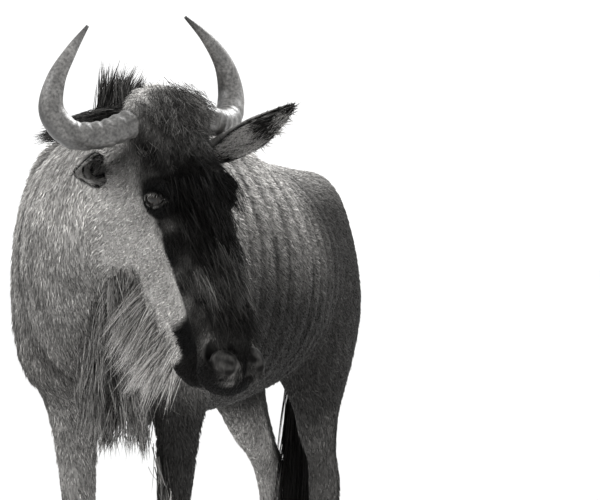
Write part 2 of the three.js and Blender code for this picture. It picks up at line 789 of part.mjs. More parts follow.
// The head's block: all of the flesh in it is the head's.
function headBlock(extra) {
  const low = vec(-240, -660, -262 - extra);
  const high = vec(240, 200, 220);
  const size = high.clone().sub(low);
  const middle = low.clone().add(high).multiplyScalar(0.5);
  const box = new THREE.BoxGeometry(...size.toArray()).translate(...middle.toArray());
  const normal = vec(0, -1, 0.62).normalize();
  const point = vec(0, 14, -90).addScaledVector(normal, -extra);
  const normalInPlace = normal.clone().transformDirection(headFrame);
  return shaped(box, headFrame).trimByPlane(
    normalInPlace.toArray(),
    normalInPlace.dot(point.applyMatrix4(headFrame)),
  );
}

const nodes = new Map();

// Nodes

// Head, with lids, sockets, nostrils and the mouth line
const headGrid = [steps(-160, 160, 19), steps(-540, 130, 22), steps(-280, 90, 20)];
let head = surface(wholeForm, headGrid, headFrame).intersect(headBlock(0));
for (const side of Object.values(sides)) {
  head = head
    .add(eyeBall(side, EYE_RADIUS + LID))
    .subtract(eyeBall(side, EYE_RADIUS + GAP))
    .subtract(almond(side, 19, 11))
    .subtract(nostril(side));
}
head = largest(joined(head.subtract(mouthLine()), brushLocks()).intersect(headBlock(0)));
nodes.set("head", head);
const clearOfHead = grown(head, GAP + 0.1);
const horns = [];
for (const [name, side] of Object.entries(sides)) {
  nodes.set(`eye_${name}`, eyeBall(side, EYE_RADIUS));
  const horn = largest(hornOf(side).subtract(clearOfHead));
  horns.push(horn);
  nodes.set(`horn_${name}`, horn);
  nodes.set(`ear_${name}`, largest(ear(EARS[name]).subtract(clearOfHead).subtract(grown(horn, 1))));
}

// Neck, with the mane along its crest and the beard under it
const neckGrid = [steps(-260, 420, 36), steps(-1100, -380, 36), steps(700, 1420, 36)];
const neckHair = [...maneLocks(), ...beardLocks()];
let neck = joined(surface(wholeForm, neckGrid), neckHair);
neck = keep(neck, NECK_CUT.point, NECK_CUT.normal).subtract(headBlock(GAP / HEAD_SIZE));
for (const horn of horns) neck = neck.subtract(grown(horn, 1));
nodes.set("neck", largest(neck));

// Torso
const torsoGrid = [steps(-300, 300, 54), steps(-900, 720, 58), steps(600, 1360, 55)];
let torso = joined(surface(wholeForm, torsoGrid), neckHair);
torso = keep(torso, NECK_CUT.point, NECK_CUT.normal.clone().negate());
torso = torso.subtract(tailBlock(GAP));
for (const leg of Object.values(LEGS)) torso = keep(torso, legCut(leg).point, legCut(leg).normal);
nodes.set("torso", largest(torso));

// Tail
let tail = surface(wholeForm, [steps(-73, 73, 14), steps(520, 700, 15), steps(720, 1120, 34)]);
tail = tail.intersect(tailBlock(0));
nodes.set("tail", largest(joined(tail, tailLocks())));

// Legs and hooves
for (const [name, leg] of Object.entries(LEGS)) {
  const side = Math.sign(leg.stations[0][0]);
  const across = side > 0 ? steps(4, 250, 19) : steps(-250, -4, 19);
  const low = Math.min(...leg.stations.map(([, y, , , d]) => y - d)) - 30;
  const high = Math.max(...leg.stations.map(([, y, , , d]) => y + d)) + 30;
  let made = surface(wholeForm, [across, steps(low, high, 24), steps(20, 830, 51)]);
  for (const claw of dewclaws(leg.stations)) made = made.add(claw);
  const cut = legCut(leg);
  made = keep(made, cut.point, cut.normal.clone().negate());
  made = keep(made, vec(0, 0, HOOF_HEIGHT), vec(0, 0, 1));
  nodes.set(name, largest(made));
  nodes.set(name.replace("leg", "hoof"), largest(hoof(leg.stations)));
}

// Materials, by the first word of a node's name
const MATERIALS = {
  flesh: new THREE.MeshStandardMaterial({ color: 0x6f6a64, roughness: 0.8 }),
  horn: new THREE.MeshStandardMaterial({ color: 0x8c867d, roughness: 0.5 }),
  eye: new THREE.MeshStandardMaterial({ color: 0x14110f, roughness: 0.1 }),
  hoof: new THREE.MeshStandardMaterial({ color: 0x2b2826, roughness: 0.6 }),
};
function materialOf(name) {
  if (name.startsWith("horn")) return MATERIALS.horn;
  if (name.startsWith("eye")) return MATERIALS.eye;
  if (name.includes("hoof")) return MATERIALS.hoof;
  return MATERIALS.flesh;
}

// The group, set so that its floor is z = 0 under its middle
const wildebeest = new THREE.Group();
for (const [name, made] of nodes) {
  const mesh = made.getMesh();
  const geometry = new THREE.BufferGeometry()
    .setAttribute("position", new THREE.BufferAttribute(mesh.vertProperties, 3))
    .setIndex(new THREE.BufferAttribute(mesh.triVerts, 1));
  const piece = new THREE.Mesh(geometry, materialOf(name));
  piece.name = name;
  wildebeest.add(piece);
}
const box = new THREE.Box3().setFromObject(wildebeest);
wildebeest.position.set(-(box.min.x + box.max.x) / 2, -(box.min.y + box.max.y) / 2, -box.min.z);

export default wildebeest;
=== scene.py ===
import math

import bmesh
import bpy
import numpy as np
from mathutils import Matrix, Vector
from mathutils.kdtree import KDTree


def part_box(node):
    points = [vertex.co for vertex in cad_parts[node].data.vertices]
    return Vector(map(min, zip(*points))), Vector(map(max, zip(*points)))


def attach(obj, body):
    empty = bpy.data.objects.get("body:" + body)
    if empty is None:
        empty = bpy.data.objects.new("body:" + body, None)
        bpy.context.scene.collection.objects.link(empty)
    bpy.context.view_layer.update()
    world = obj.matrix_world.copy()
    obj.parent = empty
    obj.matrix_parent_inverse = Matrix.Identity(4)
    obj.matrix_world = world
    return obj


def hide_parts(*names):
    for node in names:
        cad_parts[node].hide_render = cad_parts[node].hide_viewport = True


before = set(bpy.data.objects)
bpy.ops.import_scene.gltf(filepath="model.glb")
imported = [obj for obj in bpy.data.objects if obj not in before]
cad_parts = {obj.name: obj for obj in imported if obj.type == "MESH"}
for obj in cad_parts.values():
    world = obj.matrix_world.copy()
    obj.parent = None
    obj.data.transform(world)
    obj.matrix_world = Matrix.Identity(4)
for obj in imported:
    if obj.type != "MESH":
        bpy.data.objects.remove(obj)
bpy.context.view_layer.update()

# Where the animal stands. The body was drawn in millimetres about its own middle, and the packed
# model moves it so that the floor under the middle of its box is the origin. The left eye is
# round, so the middle of its box gives that move.
HEAD_AT = np.array([226, -868, 1279.0])
HEAD_SIZE = 1.04
VIEWED_FROM, HEAD_TURN, HEAD_DIP, HEAD_LEAN = (math.radians(a) for a in (18, 57.8, 72.1, 6.3))
EYE_RADIUS = 22
EYE_AT = np.array([70, -152, -8.0])
head_turning = np.array(
    Matrix.Rotation(HEAD_LEAN, 3, Vector((math.sin(VIEWED_FROM), -math.cos(VIEWED_FROM), 0)))
    @ Matrix.Rotation(HEAD_TURN, 3, "Z")
    @ Matrix.Rotation(HEAD_DIP, 3, "X")
)


def from_head(p):
    return HEAD_AT + HEAD_SIZE * np.asarray(p, float) @ head_turning.T


def to_head(p):
    return (p - HEAD_AT) @ head_turning / HEAD_SIZE


eye_low, eye_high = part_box("eye_left")
move = 500 * (np.array(eye_low) + np.array(eye_high)) - from_head(EYE_AT)


def placed(p):
    """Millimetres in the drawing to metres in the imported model."""
    return (np.asarray(p, float) + move) / 1000


# The camera: a long lens at about the height of the animal's withers, off to its left front and
# tipped down a little.
AIM, DISTANCE, DIP = np.array([420, -700, 1190]), 12000, 0.773


def stood(name, data):
    """A new object in the scene."""
    made = bpy.data.objects.new(name, data)
    bpy.context.scene.collection.objects.link(made)
    return made


lens = bpy.data.cameras.new("lens")
lens.lens = 400
lens.sensor_width = 36
lens.clip_end = 200
camera = stood("camera", lens)
toward_camera = np.array([math.sin(VIEWED_FROM), -math.cos(VIEWED_FROM), 0])
camera.location = placed(AIM + DISTANCE * toward_camera)
camera.rotation_euler = (math.radians(90 - DIP), 0, VIEWED_FROM)
bpy.context.scene.camera = camera

# Studio: a pale floor that runs out of sight, a white surround, a broad soft lamp behind and
# above that lights the back and the horns, and a weaker one in front for the face.
FLOOR_SIZE, FLOOR_GREYS, SURROUND_STRENGTH = 120, (0.86, 0.9), 1.15
LAMP_AIM = Vector((0, -0.2, 0.9))
bpy.ops.mesh.primitive_plane_add(size=FLOOR_SIZE, location=(0, 0, 0))
floor = bpy.context.object
floor.name = "floor"


def feed(node, inputs):
    """Gives a node its plain values and joins it to outputs of other nodes."""
    for socket, value in inputs.items():
        if isinstance(value, bpy.types.NodeSocket):
            node.id_data.links.new(value, node.inputs[socket])
        else:
            node.inputs[socket].default_value = value


def new_finish(name, roughness, specular=0.5):
    """A new material and its surface shader."""
    material = bpy.data.materials.new(name)
    material.use_nodes = True
    shader = material.node_tree.nodes["Principled BSDF"]
    feed(shader, {"Roughness": roughness, "Specular IOR Level": specular})
    return material, shader


def new_node(material, kind, inputs):
    made = material.node_tree.nodes.new("ShaderNode" + kind)
    feed(made, inputs)
    return made


def own_place(material):
    return new_node(material, "TexCoord", {}).outputs["Object"]


pale, shader = new_finish("pale_floor", 0.9)
mottle = new_node(pale, "TexNoise", {"Scale": 0.8})
darker, lighter = ((grey, grey, grey, 1) for grey in FLOOR_GREYS)
tint = new_node(pale, "MixRGB", {0: mottle.outputs["Fac"], 1: darker, 2: lighter})
feed(shader, {"Base Color": tint.outputs[0]})
floor.data.materials.append(pale)

surround = bpy.data.worlds.new("surround")
surround.use_nodes = True
feed(surround.node_tree.nodes["Background"], {"Color": (1, 1, 1, 1), "Strength": SURROUND_STRENGTH})
bpy.context.scene.world = surround
bpy.context.scene.view_settings.view_transform = "Standard"


def lamp(name, azimuth, elevation, distance, size, power):
    """A square soft lamp that faces the animal's shoulder."""
    a, e = math.radians(azimuth), math.radians(elevation)
    way = Vector((math.sin(a) * math.cos(e), -math.cos(a) * math.cos(e), math.sin(e)))
    light = bpy.data.lights.new(name, "AREA")
    light.size = size
    light.energy = power
    made = stood(name, light)
    made.location = LAMP_AIM + distance * way
    made.rotation_euler = (-way).to_track_quat("-Z", "Y").to_euler()


lamp("back_lamp", 150, 50, 5, 3, 520)
lamp("front_lamp", -40, 40, 6, 2, 150)

# Body form: the same smooth union of limbs and muscle masses as the CAD solids, so that the
# hide lies in them. Each form gives a rough distance in millimetres, negative inside.
WITHERS_HEIGHT, CROUP_HEIGHT, BELLY_HEIGHT = 1285, 1185, 705
BARREL_WIDTH, CHEST_WIDTH, HOCK_HEIGHT = 440, 400, 555
FAR = 110


def soften(a, b, k):
    h = np.maximum(k - np.abs(a - b), 0) / k
    return np.minimum(a, b) - h * h * k * 0.25


def blend(k, *forms):
    def made(p):
        total = forms[0](p)
        for form in forms[1:]:
            total = soften(total, form(p), k)
        return total

    return made


def fair(rows, steps):
    """Rows of numbers, resampled along a smooth curve through them."""
    rows = np.array(rows, float)
    made = []
    last = len(rows) - 1
    for i in range(last):
        a, b, c, d = rows[max(i - 1, 0)], rows[i], rows[i + 1], rows[min(i + 2, last)]
        for t in np.arange(steps) / steps:
            made.append(0.5 * (-t * (1 - t) ** 2 * a + (2 - 5 * t * t + 3 * t**3) * b
                               + t * (1 + 4 * t - 3 * t * t) * c + t * t * (t - 1) * d))
    return np.array(made + [rows[-1]])


def from_ellipse(parts, radii):
    size = np.sqrt(sum(a * a for a in parts))
    slope = np.sqrt(sum((a / r) ** 2 for a, r in zip(parts, radii)))
    return size * (size - 1) / np.maximum(slope, 1e-9)


def limb(stations, deep, steps=4):
    """Elliptical sections through rows of x, y, z, half width and half depth."""
    rows = fair(stations, steps)
    low = rows[:, :3].min(0) - rows[:, 3:].max()
    high = rows[:, :3].max(0) + rows[:, 3:].max()

    def made(p):
        gap = np.maximum(np.maximum(low - p, p - high), 0)
        nearest = np.sqrt((gap * gap).sum(1)) + FAR
        close = nearest < 2 * FAR
        p = p[close]
        best = np.full(len(p), 1e9)
        for start, end in zip(rows, rows[1:]):
            along = end[:3] - start[:3]
            across = np.cross(along, deep)
            across /= np.linalg.norm(across)
            q = p - start[:3]
            t = np.clip(q @ along / (along @ along), 0, 1)
            q = q - t[:, None] * along
            u = q @ across
            v = np.sqrt(np.maximum((q * q).sum(1) - u * u, 0))
            w = start[3] + (end[3] - start[3]) * t
            d = start[4] + (end[4] - start[4]) * t
            best = np.minimum(best, from_ellipse((u / w, v / d), (w, d)))
        nearest[close] = best
        return nearest

    return made


def mass(centre, radii, pitch=0, turn=0):
    turning = np.array(Matrix.Rotation(math.radians(turn), 3, "Z")
                       @ Matrix.Rotation(math.radians(pitch), 3, "X"))
    return lambda p: from_ellipse(tuple(((p - centre) @ turning / radii).T), radii)


def columns(*parts):
    return np.stack(np.broadcast_arrays(*parts), 1)


def mirrored(p):
    return columns(np.abs(p[:, 0]), p[:, 1], p[:, 2])


def both_sides(form):
    return lambda p: form(mirrored(p))


TORSO = [
    (0, y, (top + bottom) / 2, width / 2, (top - bottom) / 2)
    for y, top, bottom, width in (
        (-600, 1120, 810, 0.56 * CHEST_WIDTH),
        (-530, 1205, 735, 0.82 * CHEST_WIDTH),
        (-400, WITHERS_HEIGHT - 10, 700, 0.98 * CHEST_WIDTH),
        (-220, WITHERS_HEIGHT, BELLY_HEIGHT - 4, 0.95 * BARREL_WIDTH),
        (0, 1228, BELLY_HEIGHT + 6, BARREL_WIDTH),
        (190, CROUP_HEIGHT + 10, BELLY_HEIGHT + 36, 0.92 * BARREL_WIDTH),
        (330, CROUP_HEIGHT + 4, BELLY_HEIGHT + 96, 0.72 * BARREL_WIDTH),
        (440, CROUP_HEIGHT - 20, BELLY_HEIGHT + 160, 0.54 * BARREL_WIDTH),
        (515, CROUP_HEIGHT - 70, BELLY_HEIGHT + 240, 0.34 * BARREL_WIDTH),
    )
]
torso_form = blend(
    60,
    limb(TORSO, (0, 0, 1)),
    both_sides(mass([118, -455, 1000], [72, 110, 225], 14)),
    both_sides(mass([104, -575, 880], [58, 90, 120], -20)),
    both_sides(mass([84, 400, 985], [72, 150, 180], -18)),
    both_sides(mass([90, 385, 860], [54, 120, 130], 14)),
)
FORE = [
    (112, -480, 900, 62, 100), (112, -466, 765, 50, 86), (108, -471, 650, 38, 59),
    (104, -482, 520, 30, 37), (103, -486, 430, 35, 38), (103, -482, 362, 27, 29),
    (103, -480, 260, 22, 26), (103, -480, 150, 29, 33), (103, -498, 98, 25, 27),
    (103, -512, 50, 33, 40),
]
HIND = [
    (100, 415, 900, 64, 140), (102, 422, 800, 54, 122), (102, 462, HOCK_HEIGHT + 135, 41, 76),
    (102, 520, HOCK_HEIGHT + 55, 30, 44), (101, 560, HOCK_HEIGHT - 15, 31, 46),
    (100, 556, HOCK_HEIGHT - 90, 26, 34), (100, 546, 320, 23, 27), (100, 536, 155, 29, 33),
    (100, 518, 100, 25, 27), (100, 504, 50, 33, 40),
]


def stance(stations, side, across, along):
    top = stations[0][2]
    share = [min(1, (top - row[2]) / (top - HOCK_HEIGHT)) for row in stations]
    return [(side * x + across * s, y + along * s, z, w, d)
            for s, (x, y, z, w, d) in zip(share, stations)]


LEGS = {
    "foreleg_left": stance(FORE, 1, -4, 4),
    "foreleg_right": stance(FORE, -1, 18, 14),
    "hindleg_left": stance(HIND, 1, 2, -128),
    "hindleg_right": stance(HIND, -1, 26, 88),
}
NECK = [
    (0, -440, 1000, 166, 242), (2, -570, 1022, 156, 218), (26, -680, 1066, 136, 182),
    (78, -768, 1118, 108, 140), (134, -812, 1160, 88, 112), (158, -822, 1176, 78, 100),
]
TAIL = [
    (0, 500, 1095, 42, 42), (0, 560, 1078, 34, 34), (0, 604, 1030, 27, 28),
    (-2, 626, 940, 22, 22), (-4, 632, 830, 18, 18), (-5, 634, 720, 14, 14),
]
CRANIUM = [
    (0, -f, z, w, d)
    for f, z, w, d in (
        (-22, -30, 58, 40), (30, -26, 78, 52), (95, -32, 84, 60), (160, -36, 78, 62), (230, -36, 62, 58),
        (310, -34, 52, 54), (385, -38, 50, 50), (436, -46, 54, 46), (461, -53, 49, 40),
    )
]
JAW = [
    (0, -f, z, w, d)
    for f, z, w, d in (
        (90, -146, 46, 74), (165, -160, 50, 84), (250, -142, 46, 68), (335, -134, 40, 59),
        (398, -132, 38, 49), (424, -130, 34, 37),
    )
]
head_form = blend(
    24,
    limb(CRANIUM, (0, 0, 1)),
    limb(JAW, (0, 0, 1)),
    both_sides(mass([44, -150, -110], [34, 92, 82])),
    both_sides(mass([69, -150, -6], [21, 38, 26])),
    both_sides(mass([48, -215, -22], [20, 42, 26])),
    both_sides(mass([40, -448, -30], [18, 34, 30])),
    mass([0, -250, -8], [32, 150, 26]),
    mass([0, -458, -72], [50, 32, 24]),
    both_sides(mass([44, -8, -6], [44, 42, 40])),
)
tail_form = limb(TAIL, (0, 1, 0.4))
legs_form = blend(10, *(limb(leg, (0, 1, 0)) for leg in LEGS.values()))
body_form = blend(60, torso_form, legs_form, limb(NECK, (0, 0, 1)))
whole_form = blend(
    32,
    blend(25, body_form, tail_form),
    lambda p: HEAD_SIZE * head_form(to_head(p)),
)

# Details of the hide: lids, nostrils, mouth line and the folds of the neck. They are cut into or
# raised from the body form, in the head's own millimetres: x to its left, -y to the muzzle.
EYE_OUT = np.array([0.94, -0.24, 0.26]) / np.linalg.norm([0.94, -0.24, 0.26])
EYE_LONG = np.array([0, -0.5, 0.86])
EYE_LONG = EYE_LONG - EYE_OUT * (EYE_LONG @ EYE_OUT)
EYE_LONG /= np.linalg.norm(EYE_LONG)
EYE_SHORT = np.cross(EYE_OUT, EYE_LONG)
LID_OPENING, LID_THICKNESS = (19, 9.5), 4
STRIPE_SPACING = 64
BODY_NAP, LEG_NAP, HEAD_NAP, FOLD_DEPTH = 7, 3, 2.5, 4
MOUTH = fair(
    [(48, -340, -80), (49, -388, -97), (46, -432, -108), (33, -470, -104), (0, -484, -100),
     (-33, -470, -104), (-46, -432, -108), (-49, -388, -97), (-48, -340, -80)],
    4,
)


def smooth(value, low, high):
    t = np.clip((value - low) / (high - low), 0, 1)
    return t * t * (3 - 2 * t)


def fade(value, low, high):
    return 1 - smooth(value, low, high)


def bump(value, width):
    return np.exp(-((value / width) ** 2))


def ripple(p, size, seed):
    """A gentle repeatable unevenness of about -1 to 1, with waves of about that size."""
    random = np.random.default_rng(seed)
    total = np.zeros(len(p))
    for n in range(5):
        way = random.normal(size=3)
        way *= 2 * math.pi / (size * (0.7 + 0.25 * n)) / np.linalg.norm(way)
        total += np.sin(p @ way + random.uniform(0, 6.28))
    return total / 2.6


def seen_from_eye(h):
    """Mirrored to the left: how far out of, along and across the eye a point of the head is."""
    q = mirrored(h) - EYE_AT
    return q @ EYE_OUT, q @ EYE_LONG, q @ EYE_SHORT, np.sqrt((q * q).sum(1))


def lid_gap(h):
    """How far a point is outside the almond opening between the lids."""
    out, long, short, _ = seen_from_eye(h)
    half = LID_OPENING[1] * np.maximum(1 - (long / LID_OPENING[0]) ** 2, 0) ** 0.7
    return np.where(out > 4, np.maximum(np.abs(short) - half, np.abs(long) - LID_OPENING[0]), 60)


def mouth_distance(h):
    nearest = np.full(len(h), 1e9)
    for start, end in zip(MOUTH, MOUTH[1:]):
        along = end - start
        t = np.clip((h - start) @ along / (along @ along), 0, 1)
        q = h - start - t[:, None] * along
        nearest = np.minimum(nearest, (q * q).sum(1))
    return np.sqrt(nearest)


nostril_hollow = both_sides(mass([36, -444, -18], [24, 34, 28], -18, -14))
nostril_bulb = both_sides(mass([27, -461, -29], [22, 33, 28], -18, -14))


def nostril_flap(h):
    return np.maximum(nostril_bulb(h), head_form(h) - 3)


def fold(p):
    """The upright folds and stripes: 1 in the middle of a stripe, 0 between stripes."""
    s = p[:, 1] + 0.4 * np.abs(p[:, 0]) * smooth(-p[:, 1], 460, 620)
    s = s + 15 * ripple(p, 260, 5) + 0.1 * (p[:, 2] - 1000)
    wave = np.sin(2 * math.pi * s / STRIPE_SPACING + 0.8 * ripple(p, 400, 6))
    return smooth(wave, -0.4, 0.6)


def stripe_share(p):
    """How strongly stripes show: on the neck, shoulder and flank, fading to the haunch."""
    along = smooth(p[:, 1], -860, -700) * fade(p[:, 1], 120, 420)
    up = smooth(p[:, 2], 720, 840) * (1 - 0.5 * smooth(p[:, 2], 1200, 1290))
    return along * up * (0.85 + 0.25 * ripple(p, 150, 7))


def depth(p, near_head):
    """How far the hide lies under the coat's outer surface."""
    on_leg = fade(p[:, 2], 560, 720)
    body = BODY_NAP - (BODY_NAP - LEG_NAP) * on_leg + FOLD_DEPTH * fold(p) * stripe_share(p)
    return body * (1 - near_head) + HEAD_NAP * near_head


def head_nearness(h):
    return smooth(-head_form(h), -30, 0) * smooth(-h[:, 1], -10, 40)


def hide_form(p):
    h = to_head(p)
    near_head = head_nearness(h)
    total = whole_form(p) + depth(p, near_head)
    close = np.abs(h[:, 1] + 250) < 330
    close &= (np.abs(h[:, 0]) < 150) & (np.abs(h[:, 2] + 60) < 190)
    if not close.any():
        return total
    h, near = h[close], total[close]
    out, _, short, reach = seen_from_eye(h)
    lids = reach - EYE_RADIUS - LID_THICKNESS - 1.2 * bump(lid_gap(h), 3)
    near = soften(near, lids * HEAD_SIZE, 5)
    near = near + 2.2 * bump(reach - 33, 3.5) * (short < 0)
    near = near + 1.6 * bump(reach - 36, 4) * (short > 0)
    near = np.maximum(near, -np.maximum(lid_gap(h), 8 - out))
    hollow = np.maximum(nostril_hollow(h), -nostril_flap(h))
    near = -soften(-near, hollow, 5)
    near = soften(near, nostril_flap(h) + 1, 4)
    lip = mouth_distance(h)
    near = near - 2.6 * bump(lip - 9, 6) + 6 * bump(lip, 2.2)
    total[close] = near
    return total


# Hide: one closed skin over the whole body. It is drawn over the body form on an even grid, then
# divided finer on the head, and finest at the eyes, nostrils and lips.
GRID, ROUGH, BAND = 9, 4, 5.5
HIDE_LOW, HIDE_HIGH = (-300, -1260, 40), (480, 720, 1420)


def surface(form, low, high, step):
    """The vertices and quads of the surface where form is zero in a box."""
    lines = [np.arange(a, b + step, step, dtype=float) for a, b in zip(low, high)]
    rough = [line[::ROUGH] for line in lines]
    rough_points = np.stack(np.meshgrid(*rough, indexing="ij"), -1).reshape(-1, 3)
    rough_values = form(rough_points).reshape([len(line) for line in rough])
    index = [np.minimum((np.arange(len(line)) + ROUGH // 2) // ROUGH, len(r) - 1)
             for line, r in zip(lines, rough)]
    values = rough_values[np.ix_(*index)]
    band = np.abs(values) < BAND * step
    values[band] = form(np.stack([lines[n][i] for n, i in enumerate(np.nonzero(band))], 1))
    inside = values < 0
    cells = tuple(len(line) - 1 for line in lines)
    total, count = np.zeros(cells + (3,)), np.zeros(cells)
    crossings = []
    for axis in range(3):
        first, second = [slice(None)] * 3, [slice(None)] * 3
        first[axis], second[axis] = slice(0, -1), slice(1, None)
        va, vb = values[tuple(first)], values[tuple(second)]
        crossing = np.nonzero(inside[tuple(first)] != inside[tuple(second)])
        place = [lines[n][crossing[n]] for n in range(3)]
        place[axis] = place[axis] + va[crossing] / (va[crossing] - vb[crossing]) * step
        others = [n for n in range(3) if n != axis]
        whole, ring = np.ones(len(crossing[0]), bool), []
        for shift in ((0, 0), (1, 0), (1, 1), (0, 1)):
            cell = list(crossing)
            for n, s in zip(others, shift):
                cell[n] = cell[n] - s
            fits = np.all([(cell[n] >= 0) & (cell[n] < cells[n]) for n in range(3)], 0)
            spot = tuple(c[fits] for c in cell)
            np.add.at(total, spot, np.stack(place, 1)[fits])
            np.add.at(count, spot, 1)
            whole &= fits
            ring.append(cell)
        crossings.append((ring, whole, (va[crossing] < 0)[whole] ^ (axis == 1)))
    used = count > 0
    numbers = np.full(cells, -1)
    numbers[used] = np.arange(used.sum())
    quads = []
    for ring, whole, outward in crossings:
        corners = np.stack([numbers[tuple(c[whole] for c in cell)] for cell in ring], 1)
        corners[~outward] = corners[~outward][:, ::-1]
        quads.append(corners)
    return total[used] / count[used][:, None], np.concatenate(quads)


def slope_of(form, p, e=1.2):
    here = form(p)
    return here, np.stack([form(p + e * np.eye(3)[n]) - here for n in range(3)], 1) / e


def settle(form, p, rounds, most):
    """Moves points onto the surface, by at most so many millimetres in each round."""
    for _ in range(rounds):
        here, slope = slope_of(form, p)
        reach = -0.9 * here / np.maximum((slope * slope).sum(1), 0.25)
        shift = slope * reach[:, None]
        size = np.linalg.norm(shift, axis=1, keepdims=True)
        p = p + shift * np.minimum(1, most / np.maximum(size, 1e-9))
    return p


vertices, quads = surface(hide_form, HIDE_LOW, HIDE_HIGH, GRID)
raw = bpy.data.meshes.new("raw_hide")
raw.from_pydata(vertices.tolist(), [], quads.tolist())
cut = bmesh.new()
cut.from_mesh(raw)


def divide(chosen):
    """Halves the edges of the faces whose middles are chosen."""
    cut.faces.ensure_lookup_table()
    middles = to_head(np.array([f.calc_center_median() for f in cut.faces]))
    take = chosen(middles)
    edges = {e for f, wanted in zip(cut.faces, take) if wanted for e in f.edges}
    bmesh.ops.subdivide_edges(cut, edges=list(edges), cuts=1, use_grid_fill=True)


def on_head(h):
    return (head_form(h) < 12) & (h[:, 1] < 35)


def on_features(h):
    reach = seen_from_eye(h)[3]
    return on_head(h) & ((reach < 46) | (mouth_distance(h) < 17)
                         | ((nostril_hollow(h) < 14) & (h[:, 1] < -380)))


divide(on_head)
divide(on_features)
divide(lambda h: on_head(h) & (seen_from_eye(h)[3] < 34))
bmesh.ops.triangulate(cut, faces=[f for f in cut.faces if len(f.verts) > 4])
cut.to_mesh(raw)
cut.free()
vertices = np.array([v.co for v in raw.vertices])
vertices = settle(hide_form, vertices, 4, 5)
faces = [tuple(p.vertices) for p in raw.polygons]

# Ears: leaf-shaped cups of thin gristle and skin, rolled shut at the root. They are part of the
# hide's mesh, set behind and below the horns.
EAR_LENGTH, EAR_WALL, EAR_RIM = 212, 3.2, 0.97
EAR_ALONG, EAR_ROUND = 44, 18
EAR_ROWS = fair([
    (0, 17, 2.5, 0), (0.15, 18, 2.4, 0), (0.3, 24, 2.1, 0), (0.48, 30, 1.6, 2),
    (0.66, 31, 1.45, 4), (0.82, 23, 1.35, 6), (0.93, 14, 1.3, 9), (1, 4, 1.2, 11),
], 8)
EARS = {
    "left": ((78, -72, -92), (0.6, 0.07, 0.8), (-0.5, -0.75, 0.4)),
    "right": ((-78, -50, -130), (-0.67, -0.24, 0.7), (0.74, -0.16, 0.55)),
}


def unit(v):
    v = np.asarray(v, float)
    return v / np.maximum(np.linalg.norm(v, axis=-1, keepdims=True), 1e-9)


def ear_axes(side):
    root, along, opening = (np.array(v, float) for v in EARS[side])
    axis = unit(along)
    front = unit(opening - axis * (opening @ axis))
    return root, axis, front, np.cross(axis, front)


def ear_point(side, u, turn, inward):
    """A point of an ear, from its place along and round the cup and its depth in the wall."""
    root, axis, front, across = ear_axes(side)
    radius, spread, back = (np.interp(u, EAR_ROWS[:, 0], EAR_ROWS[:, n]) for n in (1, 2, 3))
    turn = turn * spread
    r = np.maximum(radius - inward - 1.2, 0.4)
    lift = radius - 20 - r * np.cos(turn) - back
    h = root + u[:, None] * EAR_LENGTH * axis + lift[:, None] * front
    return from_head(h + (r * np.sin(turn))[:, None] * across)


def wall_faces(rings, around, base=0):
    """The faces between rings of points that follow each other."""
    made = []
    for i in range(base, base + (rings - 1) * around, around):
        for j in range(around):
            a, b = i + j, i + (j + 1) % around
            made.append((a, b, b + around, a + around))
    return made


for side in EARS:
    base = len(vertices)
    u, turn = np.meshgrid(np.linspace(0, 1, EAR_ALONG), np.linspace(-1, 1, EAR_ROUND), indexing="ij")
    u, turn = u.ravel(), turn.ravel()
    wall = np.minimum(EAR_WALL, 0.4 * np.interp(u, EAR_ROWS[:, 0], EAR_ROWS[:, 1]))
    outer = ear_point(side, u, turn, 0 * wall).reshape(EAR_ALONG, EAR_ROUND, 3)
    inner = ear_point(side, u, EAR_RIM * turn, wall).reshape(EAR_ALONG, EAR_ROUND, 3)
    loop = np.concatenate([outer, inner[:, ::-1]], 1)
    ring = 2 * EAR_ROUND
    vertices = np.concatenate([vertices, loop.reshape(-1, 3)])
    faces += wall_faces(EAR_ALONG, ring, base)
    for j in range(EAR_ROUND - 1):
        for end, flip in ((0, False), ((EAR_ALONG - 1) * ring, True)):
            cap = tuple(base + end + n for n in (j, ring - 1 - j, ring - 2 - j, j + 1))
            faces.append(cap[::-1] if flip else cap)

hide_mesh = bpy.data.meshes.new("hide")
hide_mesh.from_pydata(placed(vertices).tolist(), [], faces)
hide_mesh.update()
hide = stood("hide", hide_mesh)
hide_mesh.shade_smooth()
bpy.context.view_layer.objects.active = hide
hide.select_set(True)
bpy.ops.object.mode_set(mode="EDIT")
bpy.ops.mesh.select_all(action="SELECT")
bpy.ops.mesh.normals_make_consistent(inside=False)
bpy.ops.uv.smart_project(angle_limit=math.radians(66), island_margin=0.001)
bpy.ops.object.mode_set(mode="OBJECT")
hide_mesh.uv_layers[0].name = "OFBake"

# Markings of the coat: slate grey, upright dark stripes on neck, shoulder and flank, a black face
# from the eyes down, grey cheeks, a dark belly and haunch, pale fronts to the hind legs. Painted light
# lies over them: the top of the back and neck painted paler where light falls, the left legs darker
# as painted shade and the right legs paler as painted light.
SLATE = np.array([0.105, 0.102, 0.098])
INK = np.array([0.0045, 0.0043, 0.0041])
CHARCOAL = np.array([0.016, 0.0155, 0.015])
ASH = np.array([0.31, 0.303, 0.292])


def mixed(a, b, share):
    share = np.clip(share, 0, 1)[:, None]
    return a * (1 - share) + b * share


def head_share(h):
    """1 on the head, 0 on the neck, with a soft change between them."""
    return smooth(-head_form(h), -42, -18) * smooth(-h[:, 1], -25, 30)


def layered(colour, *layers):
    """A ground colour with others laid over it in turn, each by its share."""
    for tone, share in layers:
        colour = mixed(colour, tone, share)
    return colour


